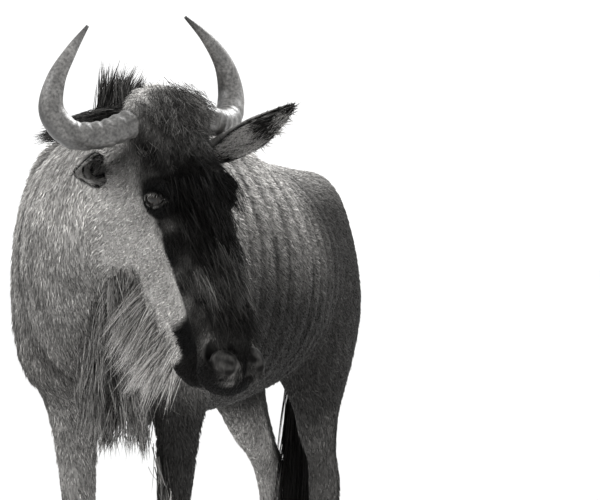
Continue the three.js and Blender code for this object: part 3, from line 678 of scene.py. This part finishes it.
def coat_colour(p):
    """The coat's colour at points of the drawing."""
    h = to_head(p)
    x, y, z = p.T
    low = fade(z + 0.12 * y, 880, 1080) * smooth(z, 560, 660)
    haunch = 0.95 * smooth(y, -60, 240) * fade(z, 1080, 1230) * smooth(z, 560, 700)
    stripe = fold(p) * stripe_share(p)
    leg = np.where(y < 0, fade(z, 700, 830), fade(z, 640, 760))
    fore, hind = leg * (y < 0), leg * (y > 0)
    lit_pale_front_of_leg = np.zeros(len(p))
    # The right hind leg's front is painted much paler than the left's: painted light on the lit side.
    for name, side, pale in (("hindleg_left", x > 0, 0.12), ("hindleg_right", x <= 0, 0.6)):
        rows = fair(LEGS[name], 4)[::-1]
        middle = np.interp(z, rows[:, 2], rows[:, 1])
        lit_pale_front_of_leg = lit_pale_front_of_leg + pale * side * smooth(middle - y, -10, 18)
    colour = layered(
        SLATE * 1.5,
        # chest; back and upper neck painted paler, as painted light on the lit top
        (ASH * 0.7, smooth(-y, 300, 450) * smooth(z, 820, 940)),
        (ASH * 1.1, 0.9 * smooth(z, 1040, 1180) * smooth(y, -520, -300)),
        (ASH * 1.3, 0.9 * smooth(-y, 440, 640) * smooth(z, 960, 1120)),
        # belly, haunch, stripes
        (CHARCOAL * 0.9, low * smooth(y, -480, -250)),
        (CHARCOAL * 1.2, haunch),
        (CHARCOAL, 0.8 * stripe * (0.75 + 0.35 * ripple(p, 110, 8))),
        # all legs; left foreleg darker as painted shade, right foreleg paler as painted light, left hind
        # leg darker as painted shade, pale fronts of the hind legs painted paler on the right as painted
        # light
        (SLATE * 0.4, leg),
        (CHARCOAL, 0.85 * fore * (x > 0) * smooth(z, 330, 560)),
        (ASH * 0.9, 0.7 * fore * smooth(-x, 0, 60) * fade(z, 690, 810)),
        (CHARCOAL, 0.85 * hind * (x > 0)),
        (ASH, hind * lit_pale_front_of_leg * fade(z, 640, 740)),
        # tail, head
        (INK, smooth(y, 566, 592) * smooth(z, 690, 720) * fade(z, 1040, 1100)),
        (head_colour(h), head_share(h)),
    )
    return np.clip(colour * (1 + 0.14 * ripple(p, 90, 11))[:, None], 0.005, 0.8)


def round_mark(a, b, size):
    return np.exp(-(a**2 + b**2) / size**2)


def head_colour(h):
    """The head's colour at points in its own millimetres."""
    x, y, z = h.T
    across = np.abs(x)
    mottle = ripple(h, 34, 22)
    crown = smooth(z, -30, 8) * smooth(-y, -30, 10) * fade(-y, 120, 150)
    edge = np.interp(-y, [60, 110, 152, 240, 338, 390], [70, 22, -16, -44, -88, -122])
    edge = edge + 5 * ripple(h, 60, 21)
    cheekbone = bump(y + 318, 46) * smooth(z, -100, -60) * (0.55 + 0.5 * mottle)
    # A painted highlight: a grey spot on the black gland in front of the eye.
    gland_highlight = round_mark(y + 202, z + 8, 13) * (across > 30)
    reach = seen_from_eye(h)[3]
    rim = bump(np.maximum(lid_gap(h), 0) - 2.2, 1.6) * (reach < EYE_RADIUS + 9)
    streak = bump(across - 70 - 0.12 * (y + 60), 13)
    streak = streak * smooth(y, -140, -110) * fade(y, -60, -30)
    # The chin's whitish hair, painted paler still where it catches the light: real colour and painted
    # highlight.
    lit_pale_chin = smooth(-y, 335, 355) * smooth(-z, 116, 127)
    flap = smooth(-nostril_flap(h), -7, 2) * (y < -425)
    speckle = (0.65 + 0.75 * ripple(h, 17, 25))[:, None].clip(0.15, 2)
    hole = smooth(-nostril_hollow(h), -4, 3) * smooth(nostril_flap(h), -1, 3) * (y < -400)
    return layered(
        ASH * 0.95,
        # top, cheeks, crown
        (SLATE * 0.7, smooth(z, -60, -10)),
        (ASH * 1.1, 0.8 * smooth(-z, 60, 130) * fade(-y, 300, 350)),
        (CHARCOAL, crown * (0.4 + 0.5 * mottle)),
        # black mask and lips, cheekbone, grey on the nose, and a painted highlight on the gland
        (INK, smooth(z - edge, -8, 6) * smooth(-y + 0.2 * across, 96, 132)),
        (INK, smooth(-y, 338, 362) * smooth(z, -128, -118)),
        (SLATE * 0.8, cheekbone),
        (SLATE, 0.8 * round_mark(y + 412, z + 28, 22) + 0.5 * gland_highlight),
        # behind and round the eye, rim of the lids, streak to the horn
        (INK, 0.9 * round_mark(y + 125, z + 15, 26) * (across > 40)),
        (INK, smooth(-reach, -44, -31)),
        (ASH, 0.5 * rim),
        (INK, 0.9 * streak),
        # chin, muzzle, nostrils, mouth
        (ASH * 1.2, lit_pale_chin * fade(-y, 400, 412)),
        (INK * 1.5, smooth(-y, 402, 414) * smooth(-z, 60, 80)),
        # The right nostril flap is painted paler than the left: painted light on one side.
        (SLATE * 0.6 * speckle, flap * np.where(x < 0, 0.95, 0.5)),
        (INK * 0.5, hole),
        (INK, bump(mouth_distance(h), 7)),
    )


def ear_colour():
    """Pale outside, dark inside and at the rim and the tip."""
    u = np.repeat(np.linspace(0, 1, EAR_ALONG), 2 * EAR_ROUND)
    turn = np.linspace(-1, 1, EAR_ROUND)
    turn = np.tile(np.concatenate([turn, turn[::-1]]), EAR_ALONG)
    inner = np.tile(np.repeat([0, 1], EAR_ROUND), EAR_ALONG)
    edge = np.maximum(smooth(np.abs(turn), 0.8, 0.97), smooth(u, 0.84, 0.97))
    return layered(ASH * 0.8, (CHARCOAL, inner), (INK * 1.5, edge))


def paint(mesh, colours):
    layer = mesh.color_attributes.new("Coat", "FLOAT_COLOR", "POINT")
    values = np.ones((len(mesh.vertices), 4), np.float32)
    values[:, :3] = colours
    layer.data.foreach_set("color", values.ravel())


ear_count = EAR_ALONG * 2 * EAR_ROUND
body_count = len(vertices) - 2 * ear_count
painted = np.concatenate([coat_colour(vertices[:body_count]) * 0.8, ear_colour(), ear_colour()])
paint(hide_mesh, painted)


def painted_finish(name, roughness, grain, rise, detail=4, specular=0.03,
                   stretch=(1, 0.6, 0.3), found=(0.3, 0.7), given=(0.62, 1.38)):
    """The painted markings, broken by a grain that is also a low relief, found to given tones."""
    material, shader = new_finish(name, roughness, specular)
    marking = new_node(material, "Attribute", {})
    marking.attribute_name = "Coat"
    along_hair = new_node(material, "Mapping", {"Vector": own_place(material), "Scale": stretch})
    noise = new_node(material, "TexNoise", {
        "Vector": along_hair.outputs[0], "Scale": grain, "Detail": detail,
    })
    spread = new_node(material, "MapRange", {
        "Value": noise.outputs["Fac"], "From Min": found[0], "From Max": found[1],
        "To Min": given[0], "To Max": given[1],
    })
    tone = new_node(material, "VectorMath", {})
    tone.operation = "SCALE"
    feed(tone, {0: marking.outputs["Color"], "Scale": spread.outputs[0]})
    relief = new_node(material, "Bump", {
        "Strength": 0.5, "Distance": rise, "Height": noise.outputs["Fac"],
    })
    feed(shader, {"Base Color": tone.outputs[0], "Normal": relief.outputs[0]})
    return material


hide_finish = painted_finish("short_hide", 0.7, 260, 0.0012)
hide_mesh.materials.append(hide_finish)
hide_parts("head", "neck", "torso", "tail", "ear_left", "ear_right", *LEGS)
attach(hide, "root")

# Coat: short tufts of hair, thin leaves rooted in the hide that lie along it. They are thickest
# on neck and body, finer on the legs and finest on the face, and carry the hide's markings.
LEAF_THICKNESS, LEAF_WIDEST, LEAF_ROOT, LEAF_PATCH = 0.22, 0.4, 2.5, 0.003
few = 1
hide_mesh.calc_loop_triangles()


def read(items, field, width, kind):
    values = np.empty(width * len(items), kind)
    items.foreach_get(field, values)
    return values.reshape(-1, width)


corner = read(hide_mesh.loop_triangles, "vertices", 3, np.int32)
loops = read(hide_mesh.loop_triangles, "loops", 3, np.int32)
unwrap = read(hide_mesh.uv_layers["OFBake"].data, "uv", 2, np.float32)
normals = read(hide_mesh.vertices, "normal", 3, np.float32).astype(float)
own = (corner < body_count).all(1)
corners = vertices[corner]
edges = corners[:, 1:] - corners[:, :1]
areas = 0.5 * np.linalg.norm(np.cross(edges[:, 0], edges[:, 1]), axis=1)
centres = corners.mean(1)
centre_in_head = to_head(centres)
on_face = own & (head_form(centre_in_head) < 14) & (centre_in_head[:, 1] < 25)


def scattered(random, amount, weight):
    """Roots spread over the hide: their place, normal and unwrapped place."""
    chance = areas * weight
    chosen = random.choice(len(areas), amount, p=chance / chance.sum())
    a, b = random.random((2, amount))
    over = a + b > 1
    a[over], b[over] = 1 - a[over], 1 - b[over]
    share = np.stack([1 - a - b, a, b], 1)[:, :, None]
    at = (vertices[corner[chosen]] * share).sum(1)
    normal = unit((normals[corner[chosen]] * share).sum(1))
    return at, normal, (unwrap[loops[chosen]] * share).sum(1), chosen


def lie_of(p, normal, random):
    """The way that the hair lies, along the hide."""
    h = to_head(p)
    leg = fade(p[:, 2], 600, 800)
    neck = smooth(-p[:, 1], 440, 620)
    way = mixed(np.array([0, 0.85, -0.5]), np.array([0, 0.35, -0.95]), neck)
    way = mixed(way, np.array([0, 0.15, -1.0]), leg)
    front = smooth(h[:, 2], -60, 0)
    cheek = columns(0, -0.16 - 0.1 * front, -1)
    down = columns(0.012 * h[:, 0], -1, 0)
    way = mixed(way, mixed(cheek, down, front) @ head_turning.T, head_share(h))
    way = way + 0.22 * random.normal(size=way.shape)
    way = way - normal * (way * normal).sum(1)[:, None]
    return unit(way)


def leaf_mesh(name, at, normal, lie, length, width, stand, colour, unwrapped):
    """Closed leaves of six triangles, each with its root sunk in the hide."""
    amount = len(at)
    side = np.cross(normal, lie)
    length, width, stand = (np.broadcast_to(v, amount)[:, None] for v in (length, width, stand))
    thick = LEAF_THICKNESS * width
    middle = at + lie * length * LEAF_WIDEST + normal * (stand * length * LEAF_WIDEST + thick)
    points = np.stack([
        at - normal * LEAF_ROOT,
        middle + side * width / 2 - normal * thick * 0.5,
        middle - side * width / 2 - normal * thick * 0.5,
        middle + normal * thick,
        at + lie * length + normal * stand * length,
    ], 1)
    pattern = np.array([(0, 2, 3), (0, 3, 1), (2, 4, 3), (3, 4, 1), (0, 1, 2), (2, 1, 4)])
    patch = LEAF_PATCH * np.array([(-0.5, 0), (0, 0.5), (0, -0.5), (0.1, 0), (0.5, 0)])
    hair_mesh(name, points, pattern, patch, colour, unwrapped)


def hair_mesh(name, points, pattern, patch, colour, unwrapped):
    """Joins many alike small solids into one mesh with their colours and their bake patches."""
    amount, each = points.shape[:2]
    mesh = bpy.data.meshes.new(name)
    mesh.vertices.add(amount * each)
    mesh.vertices.foreach_set("co", placed(points.reshape(-1, 3)).astype(np.float32).ravel())
    triangle = (pattern[None] + each * np.arange(amount)[:, None, None]).reshape(-1, 3)
    mesh.loops.add(3 * len(triangle))
    mesh.loops.foreach_set("vertex_index", triangle.astype(np.int32).ravel())
    mesh.polygons.add(len(triangle))
    mesh.polygons.foreach_set("loop_start", np.arange(0, 3 * len(triangle), 3, dtype=np.int32))
    mesh.polygons.foreach_set("use_smooth", np.ones(len(triangle), bool))
    mesh.update(calc_edges=True)
    spot = np.clip(unwrapped, 0.003, 0.997)[:, None] + patch[None]
    layer = mesh.uv_layers.new(name="OFBake")
    layer.data.foreach_set("uv", spot.reshape(-1, 2)[triangle.ravel()].astype(np.float32).ravel())
    paint(mesh, np.repeat(colour, each, 0))
    mesh.materials.append(coat_finish)
    made = stood(name, mesh)
    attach(made, "root")


coat_finish = painted_finish("hair", 0.62, 500, 0.0004)
face, rest = on_face.astype(float), (own & ~on_face).astype(float)
low_leg = (centres[:, 2] < 640) & (rest > 0)
far_back = centres[:, 1] > -60
COATS = {
    # name: amount, weight, length, width, stand
    "coat_barrel": (30000, rest * ~low_leg * far_back * (centres[:, 2] > 900), 17, 3.2, 0.09),
    "coat_belly_and_haunch": (24000, rest * ~low_leg * far_back * (centres[:, 2] <= 900), 19, 3.2, 0.1),
    "coat_shoulder_right": (24000, rest * ~low_leg * ~far_back * (centres[:, 0] < 0), 22, 3.0, 0.12),
    "coat_shoulder_left": (24000, rest * ~low_leg * ~far_back * (centres[:, 0] >= 0), 20, 3.0, 0.12),
    "coat_legs": (16000, low_leg.astype(float), 15, 2.6, 0.08),
    "coat_head": (30000, face, 12, 1.9, 0.1),
}
for number, (name, (amount, weight, length, width, stand)) in enumerate(COATS.items()):
    random = np.random.default_rng(100 + number)
    at, normal, spot, _ = scattered(random, amount // few, weight)
    h = to_head(at)
    keep = (lid_gap(h) > 3) & (mouth_distance(h) > 3)
    keep &= ~((nostril_hollow(h) < 2) & (h[:, 1] < -400))
    at, normal, spot = at[keep], normal[keep], spot[keep]
    amount = len(at)
    lie = lie_of(at, normal, random)
    colour = coat_colour(at + 0.3 * length * lie)
    # Each tuft's random brightness is partly a real mottle of the coat, partly painted highlights of
    # gloss on the hair.
    colour = colour * np.exp(random.normal(-0.05, 0.34, amount))[:, None]
    leaf_mesh(
        name, at, normal, lie,
        length * random.uniform(0.7, 1.25, amount), width * random.uniform(0.7, 1.2, amount),
        stand * random.uniform(0.3, 1.7, amount), colour, spot,
    )

# Ear hair: soft pale hair that lies across the dark inside of the cups, and a short fur outside
# them, both rooted in the ears' own skin.
EAR_HAIR_WIDTH = 1.2
random = np.random.default_rng(61)
of_cup = ((corner - body_count) % (2 * EAR_ROUND) >= EAR_ROUND).all(1)
for name, weight, amount, length, pale in (
    ("ear_lining", ~own & of_cup, 6000, 24, 1.0),
    ("ear_fur", ~own & ~of_cup, 6000, 9, 0.0),
):
    at, normal, spot, chosen = scattered(random, amount // few, weight)
    toward = np.where(to_head(at)[:, :1] > 0, ear_axes("left")[1], ear_axes("right")[1]) @ head_turning.T
    lie = toward + 0.45 * random.normal(size=at.shape)
    lie = unit(lie - normal * (lie * normal).sum(1)[:, None])
    share = pale * smooth(ripple(at, 60, 62) + random.random(len(at)), 0, 0.7)
    colour = mixed(painted[corner[chosen]].mean(1), ASH * 1.2, share)
    stand = 0.12 + 0.1 * pale * random.random(len(at))
    lengths = length * random.uniform(0.6, 1.2, len(at))
    leaf_mesh(name, at, normal, lie, lengths, EAR_HAIR_WIDTH, stand, colour, spot)

# Eyes: dark brown balls with a level slot of a pupil and a slightly swollen cornea, set under
# the lids. Each stands for the plain ball of the CAD.
PUPIL_SHAPE, PUPIL_EDGE, IRIS_START, IRIS_RIM = (75, 170, 0), 0.55, 0.7, 0.97
CORNEA_EDGE, CORNEA_DEPTH, CORNEA_SWELL, EYE_FIT = 0.72, 0.28, 0.06, 0.985
eye_finish, shader = new_finish("wet_eye", 0.25, 0.3)
pupil = new_node(eye_finish, "Mapping", {"Vector": own_place(eye_finish), "Scale": PUPIL_SHAPE})
distance = new_node(eye_finish, "VectorMath", {})
distance.operation = "LENGTH"
feed(distance, {0: pupil.outputs[0]})
ramp = new_node(eye_finish, "ValToRGB", {"Fac": distance.outputs["Value"]})
dark, iris = ramp.color_ramp.elements
dark.position, dark.color = PUPIL_EDGE, (0.002, 0.002, 0.002, 1)
iris.position, iris.color = IRIS_START, (0.012, 0.008, 0.005, 1)
ramp.color_ramp.elements.new(IRIS_RIM).color = (0.006, 0.005, 0.004, 1)
feed(shader, {"Base Color": ramp.outputs[0]})
for side, sign in (("left", 1), ("right", -1)):
    bpy.ops.mesh.primitive_uv_sphere_add(segments=48, ring_count=32, radius=1)
    eye = bpy.context.object
    eye.name = f"{side}_eye_wet"
    turned = np.stack([EYE_LONG, EYE_SHORT, EYE_OUT], 1)
    turned[0] *= sign
    centre = placed(from_head(EYE_AT * [sign, 1, 1]))
    for vertex in eye.data.vertices:
        swell = 1 + CORNEA_SWELL * max(vertex.co.z - CORNEA_EDGE, 0) / CORNEA_DEPTH
        vertex.co = Vector(vertex.co) * EYE_RADIUS * HEAD_SIZE * swell / 1000 * EYE_FIT
    if sign < 0:
        eye.data.flip_normals()
    eye.matrix_world = Matrix.Translation(centre) @ Matrix(head_turning @ turned).to_4x4()
    eye.data.shade_smooth()
    eye.data.materials.append(eye_finish)
    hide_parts(f"eye_{side}")
    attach(eye, "root")

# Horns: smooth curved sheaths of horn over bone cores, rough and swollen at the base, grey and
# mottled along the shaft, dark at the tips, and dark below as painted shade on the underside.
HORN = fair(
    [(62, -10, -10, 26), (98, -18, -18, 26), (134, -20, -36, 25), (174, -6, -56, 26),
     (198, 38, -58, 24), (186, 86, -38, 18), (150, 130, -18, 11), (108, 168, -6, 3)],
    14,
)


def tube(rows, around, rough):
    """Rings round a curve of x, y, z, radius, closed at both ends."""
    points, radii = rows[:, :3], rows[:, 3]
    across = np.array([0.3, 0.2, 1.0])
    rings = []
    for i in range(len(rows)):
        along = unit(points[min(i + 1, len(rows) - 1)] - points[max(i - 1, 0)])
        across = unit(across - along * (across @ along))
        other = np.cross(along, across)
        turn = 2 * math.pi * np.arange(around) / around
        r = radii[i] * rough[i]
        rings.append(points[i] + np.outer(r * np.cos(turn), across) + np.outer(r * np.sin(turn), other))
    faces = wall_faces(len(rows), around)
    faces.append(tuple(range(around))[::-1])
    faces.append(tuple(range((len(rows) - 1) * around, len(rows) * around)))
    return np.concatenate(rings), faces


horn_finish = painted_finish(
    "horn_sheath", 0.42, 190, 0.0015, 6, 0.5, (1, 1, 1), (0.32, 0.68), (0.45, 1.5))
HORN_AROUND = 40
HORN_BASE, HORN_SHAFT, HORN_TIP, HORN_UNDERSIDE_SHADE = np.array([
    (0.078, 0.076, 0.073), (0.11, 0.107, 0.103), (0.02, 0.019, 0.018), (0.008, 0.0078, 0.0075)])
for side, sign in (("left", 1), ("right", -1)):
    t = np.linspace(0, 1, len(HORN))
    turn = 2 * math.pi * np.arange(HORN_AROUND) / HORN_AROUND
    ridges = 0.035 * np.sin(t[:, None] * 95 + 0.7 * np.sin(turn * 2))
    ridges = ridges * fade(t, 0.3, 0.62)[:, None]
    boss = 0.05 * np.sin(turn * 5 + 9 * t[:, None]) * fade(t, 0.1, 0.3)[:, None]
    points, horn_faces = tube(HORN, HORN_AROUND, 0.97 + ridges + boss - 0.03)
    points[:, 0] *= sign
    mesh = bpy.data.meshes.new(f"{side}_horn_sheath")
    mesh.from_pydata(placed(from_head(points)).tolist(), [], [f[::sign] for f in horn_faces])
    mesh.update()
    mesh.shade_smooth()
    shade = np.repeat(t, HORN_AROUND)
    # Painted shade: the underside of the horn, short of the tip, painted near black where no light
    # falls.
    shaded_underside = smooth(-points[:, 2], 40, 66) * fade(shade, 0.7, 0.9)
    colour = layered(
        HORN_BASE,
        (HORN_SHAFT, smooth(shade, 0.35, 0.7)),
        (HORN_TIP, smooth(shade, 0.84, 0.99)),
        (HORN_UNDERSIDE_SHADE, 0.9 * shaded_underside),
    )
    paint(mesh, colour * (1 + 0.25 * ripple(points, 30, 31))[:, None].clip(0.5, 1.5))
    mesh.materials.append(horn_finish)
    horn = stood(f"{side}_horn_sheath", mesh)
    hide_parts(f"horn_{side}")
    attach(horn, "root")

# Long hair: strands gathered in locks, each a thin tapered solid that leaves the hide along its
# root's way and bends over to lie. Mane, beard, face brush and tassel are all made of it.
STRAND_TURNS = np.array([0, 2 * math.pi / 3, 4 * math.pi / 3])
STRAND_ROOT, STRAND_DROOP, STRAND_PATCH, LOCK_ROOT = 6, 0.6, 0.0015, 4
UP = np.array([0, 0, 1.0])


def strand_mesh(name, root, out, lie, length, width, colour, unwrapped, joints):
    amount = len(root)
    length, width = (np.broadcast_to(v, amount)[:, None] for v in (length, width))
    rings = []
    side = unit(np.cross(out, lie) + 1e-4)
    for n, t in enumerate(np.linspace(0, 1, joints + 1)):
        bend = t**1.5
        middle = root + out * length * (t - STRAND_DROOP * bend) + lie * length * STRAND_DROOP * bend
        middle = middle - out * STRAND_ROOT * (n == 0)
        if n == joints:
            rings.append(middle)
            break
        way = unit(out * (1 - STRAND_DROOP * bend) + lie * 0.9 * bend)
        up = np.cross(way, side)
        r = width / 2 * (1 - t**2 * 0.75)
        for turn in STRAND_TURNS:
            rings.append(middle + r * (math.cos(turn) * side + 0.5 * math.sin(turn) * up))
    points = np.stack(rings, 1)
    pattern = [(0, 2, 1)]
    for n in range(joints - 1):
        for m in range(3):
            a, b = 3 * n + m, 3 * n + (m + 1) % 3
            pattern += [(a, b, b + 3), (a, b + 3, a + 3)]
    last = 3 * (joints - 1)
    pattern += [(last + m, last + (m + 1) % 3, 3 * joints) for m in range(3)]
    turn = np.arange(3 * joints + 1) * 2.1
    patch = STRAND_PATCH * columns(np.cos(turn), np.sin(turn))
    hair_mesh(name, points, np.array(pattern), patch, colour, unwrapped)


def on_hide(points):
    """The unwrapped place of the nearest spot of the hide."""
    return np.array([hide_spots[nearest_hide.find(Vector(p))[1]] for p in points])


nearest_hide = KDTree(len(centres))
for n, p in enumerate(centres):
    nearest_hide.insert(p, n)
nearest_hide.balance()
hide_spots = unwrap[loops].mean(1)


def gathered(random, roots, outs, lies, lengths, per, root_spread, tip_spread):
    """Strands of each lock: their roots lie apart and their tips come together."""
    root = np.repeat(roots, per, 0)
    out, lie = np.repeat(outs, per, 0), np.repeat(lies, per, 0)
    length = np.repeat(lengths, per)
    tip = root + out * length[:, None] * 0.4 + lie * length[:, None] * 0.6
    tip = tip + random.normal(size=tip.shape) * tip_spread
    start = root + random.normal(size=root.shape) * root_spread
    reach = tip - start
    size = np.linalg.norm(reach, axis=1) * random.uniform(0.75, 1.06, len(start))
    out = unit(0.5 * out + 0.5 * unit(reach) + 0.08 * random.normal(size=out.shape))
    lie = unit(1.7 * unit(reach) - 0.7 * out)
    return start, out, lie, size


def grown(name, random, locks, per, spreads, width, tone, joints=5, in_head=False):
    """Fills locks with strands as one piece; tone gives the colours of a number of strands."""
    root, out, lie, length = gathered(random, *locks, per // few, *spreads)
    colour = tone(len(root))
    if in_head:
        root, out, lie = from_head(root), out @ head_turning.T, lie @ head_turning.T
    strand_mesh(name, root, out, lie, length, width, colour, on_hide(root), joints)


def streaked(random, amount, base, other, evenness):
    """Strand colours from one to another, with fewer of the other as evenness grows."""
    return mixed(base, other, random.random(amount) ** evenness)


def leave(form, start, way):
    """Roots of locks, a little short of where lines from inside a form come out of it."""
    inside, outside = np.zeros(len(start)), np.full(len(start), 500.0)
    for _ in range(14):
        middle = (inside + outside) / 2
        below = form(start + way * middle[:, None]) < 0
        inside = np.where(below, middle, inside)
        outside = np.where(below, outside, middle)
    return start + way * inside[:, None] - LOCK_ROOT * way


def along(rows, amount):
    line = fair(rows, 8)
    t = np.linspace(0, 0.999, amount) * (len(line) - 1)
    i = t.astype(int)
    share = (t - i)[:, None]
    way = unit((line[i + 1] - line[i])[:, :3])
    return line[i] * (1 - share) + line[i + 1] * share, way


# Mane: long black hair, upright along the crest of the neck and shorter over the withers, with a
# part of it fallen over to the right side.
MANE_LENGTH, MANE_LEVEL = 108, 0.75
upright_locks, fallen_locks = 170, 90
random = np.random.default_rng(11)
crest = [(0, -150, 1050, 160, 225), (0, -310, 1034, 160, 238), *NECK]
rows, way = along(crest, upright_locks)
across = unit(np.cross(way, UP))
lean = random.uniform(0, 0.8, len(rows))[:, None]
out = unit(UP + across * -lean)
lie = unit(out - across * lean - way * 0.5 * random.random((len(rows), 1)))
share = np.linspace(0, 1, len(rows))
start = rows[:, :3] + UP * MANE_LEVEL * rows[:, 4:5] + across * random.normal(0, 10, (len(rows), 1))
height = 0.35 + 0.85 * smooth(share, 0.3, 0.5) - 0.6 * smooth(share, 0.66, 0.85)
length = MANE_LENGTH * height * random.uniform(0.8, 1.05, len(rows))
upright = (leave(body_form, start, out), out, lie, length)
rows, way = along(crest[1:], fallen_locks)
across = np.array([-1, -0.25, 0])
out = np.tile(unit([-0.62, -0.12, 0.78]), (len(rows), 1))
lie = unit(np.array([-0.75, -0.2, -0.65]) + random.uniform(0, 0.3, (len(rows), 1)) * [0, 1, 0])
start = leave(body_form, rows[:, :3] + UP * MANE_LEVEL * rows[:, 4:5], out)
fallen = (start, out, lie, MANE_LENGTH * random.uniform(0.95, 1.35, len(rows)))
both = [np.concatenate(pair) for pair in zip(upright, fallen)]
grown("mane", random, both, 15, (8, 7), 2.6, lambda n: streaked(random, n, INK, SLATE, 2.5))

# Beard: long streaked hair in two rows under the throat, rooted in the hide of the neck from
# behind the jaw to the brisket.
BEARD_LENGTH, BEARD_LEVEL, locks = 84, 0.7, 150
random = np.random.default_rng(23)
rows, way = along(NECK, locks)
aside = np.where(np.arange(locks) % 2, 1, -1)[:, None] * random.uniform(0.1, 0.42, (locks, 1))
across = unit(np.cross(way, UP))
out = unit(-UP + across * aside + way * 0.25)
share = np.linspace(0, 1, locks)
start = leave(body_form, rows[:, :3] + [22, 0, 0] - UP * BEARD_LEVEL * rows[:, 4:5], out)
lie = unit(columns(0.2 * random.random(locks), -0.25 * random.random(locks), -1))
length = BEARD_LENGTH * (0.75 + 0.4 * np.sin(math.pi * (share * 22 + 2) / 26))
length = length * random.uniform(0.75, 1.1, locks)
grown("beard", random, (start, out, lie, length), 18, (10, 8), 2.4,
      lambda n: streaked(random, n, CHARCOAL, ASH, 1.2))

# Throat fringe: paler hair that hangs from the lower edge of the jaw and fills the throat
# between the jaw and the beard.
FRINGE_LENGTH, locks = 150, 330
random = np.random.default_rng(29)
start = columns(random.uniform(-40, 34, locks), -random.uniform(50, 385, locks), -120)
head_down = np.tile(unit([0, 0.05, -1]), (locks, 1))
below = leave(head_form, start, head_down)
out = unit(head_down @ head_turning.T + 0.15 * random.normal(size=(locks, 3)))
lie = unit(np.array([-0.3, 0.02, -1]) + 0.1 * random.normal(size=(locks, 3)))
length = FRINGE_LENGTH * random.uniform(0.6, 1.1, locks)
grown("throat_fringe", random, (from_head(below), out, lie, length), 12, (8, 7), 2.1,
      lambda n: streaked(random, n, ASH * 1.35, CHARCOAL, 3))

# Tail tassel: long black hair rooted round the lower half of the tail, which hangs down below
# the hocks.
TASSEL_END, locks = 350, 210
random = np.random.default_rng(37)
turn = random.uniform(0, 2 * math.pi, locks)
away = columns(np.cos(turn), np.sin(turn), 0)
height = random.uniform(TAIL[5][2] + 10, TAIL[3][2] - 40, locks)
low_tail = np.array(TAIL[:2:-1])
middle = columns(*(np.interp(height, low_tail[:, 2], low_tail[:, n]) for n in (0, 1)), height)
start = middle + away * 12
out = unit(0.06 * away - UP)
lie = unit(-0.035 * away - UP + [-0.06, 0, 0])
length = (height - TASSEL_END) * random.uniform(0.55, 0.97, locks)
grown("tail_tassel", random, (start, out, lie, length), 14, (6, 17), 3.2,
      lambda n: INK * random.uniform(0.6, 2.4, (n, 1)))

# Face brush: coarse dark hair rooted along the front of the face, lying towards the muzzle and
# marked as the hide under it.
BRUSH_LENGTH, locks = 58, 210
random = np.random.default_rng(53)
across = random.normal(0, 21, locks).clip(-48, 48)
start = columns(across, -random.uniform(128, 400, locks), -40)
column = across / 22
head_out = unit(columns(0.25 * column, 0, 1))
root_in_head = leave(head_form, start, head_out)
out = unit(columns(0.12 * column, -0.86, 0.42))
lie = unit(columns(0.05 * column, -1, -0.04))
length = BRUSH_LENGTH * random.uniform(0.6, 1.15, locks)
marked = head_colour(np.repeat(root_in_head, 14 // few, 0))
# The strands' random brightness is partly a real mix, partly painted highlights on the dark hair.
grown("face_brush", random, (root_in_head, out, lie, length), 14, (6, 6), 1.7,
      lambda n: marked * random.uniform(0.5, 1.8, (n, 1)), joints=4, in_head=True)

# Forehead hair: short and rough, rooted over the two swellings of the poll and fading to black
# where it meets the face brush.
FOREHEAD_LENGTH, locks = 23, 330
random = np.random.default_rng(59)
across = random.normal(0, 34, locks).clip(-72, 72)
start = columns(across, -random.uniform(-34, 118, locks), -30)
root_in_head = leave(head_form, start, UP)
fan = across / 60
out = unit(columns(0.5 * fan, -0.5, 0.75))
lie = unit(columns(0.5 * fan, -1, -0.1))
length = FOREHEAD_LENGTH * random.uniform(0.6, 1.2, locks)
blackened = smooth(-np.repeat(start[:, 1], 12 // few), 50, 110)
grown("forehead_hair", random, (root_in_head, out, lie, length), 12, (6, 5), 1.2,
      lambda n: mixed(streaked(random, n, CHARCOAL, SLATE * 1.3, 1.4), INK, blackened),
      joints=4, in_head=True)

# Hooves: dark horn, two claws to a foot, with a flat sole and growth rings round the wall. They
# are the CAD's own solids, with the finish of horn.
hoof_finish, shader = new_finish("hoof_horn", 0.5, 0.15)
rings = new_node(hoof_finish, "TexWave", {
    "Vector": own_place(hoof_finish), "Scale": 60, "Distortion": 3,
})
rings.bands_direction = "Z"
ramp = new_node(hoof_finish, "ValToRGB", {"Fac": rings.outputs["Fac"]})
dark, light = ramp.color_ramp.elements
dark.color, light.color = (0.008, 0.0075, 0.007, 1), (0.028, 0.026, 0.024, 1)
relief = new_node(hoof_finish, "Bump", {"Height": rings.outputs["Fac"], "Distance": 0.001})
feed(shader, {"Base Color": ramp.outputs[0], "Normal": relief.outputs[0]})
for name in ("forehoof_left", "forehoof_right", "hindhoof_left", "hindhoof_right"):
    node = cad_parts[name]
    node.data.materials.clear()
    node.data.materials.append(hoof_finish)
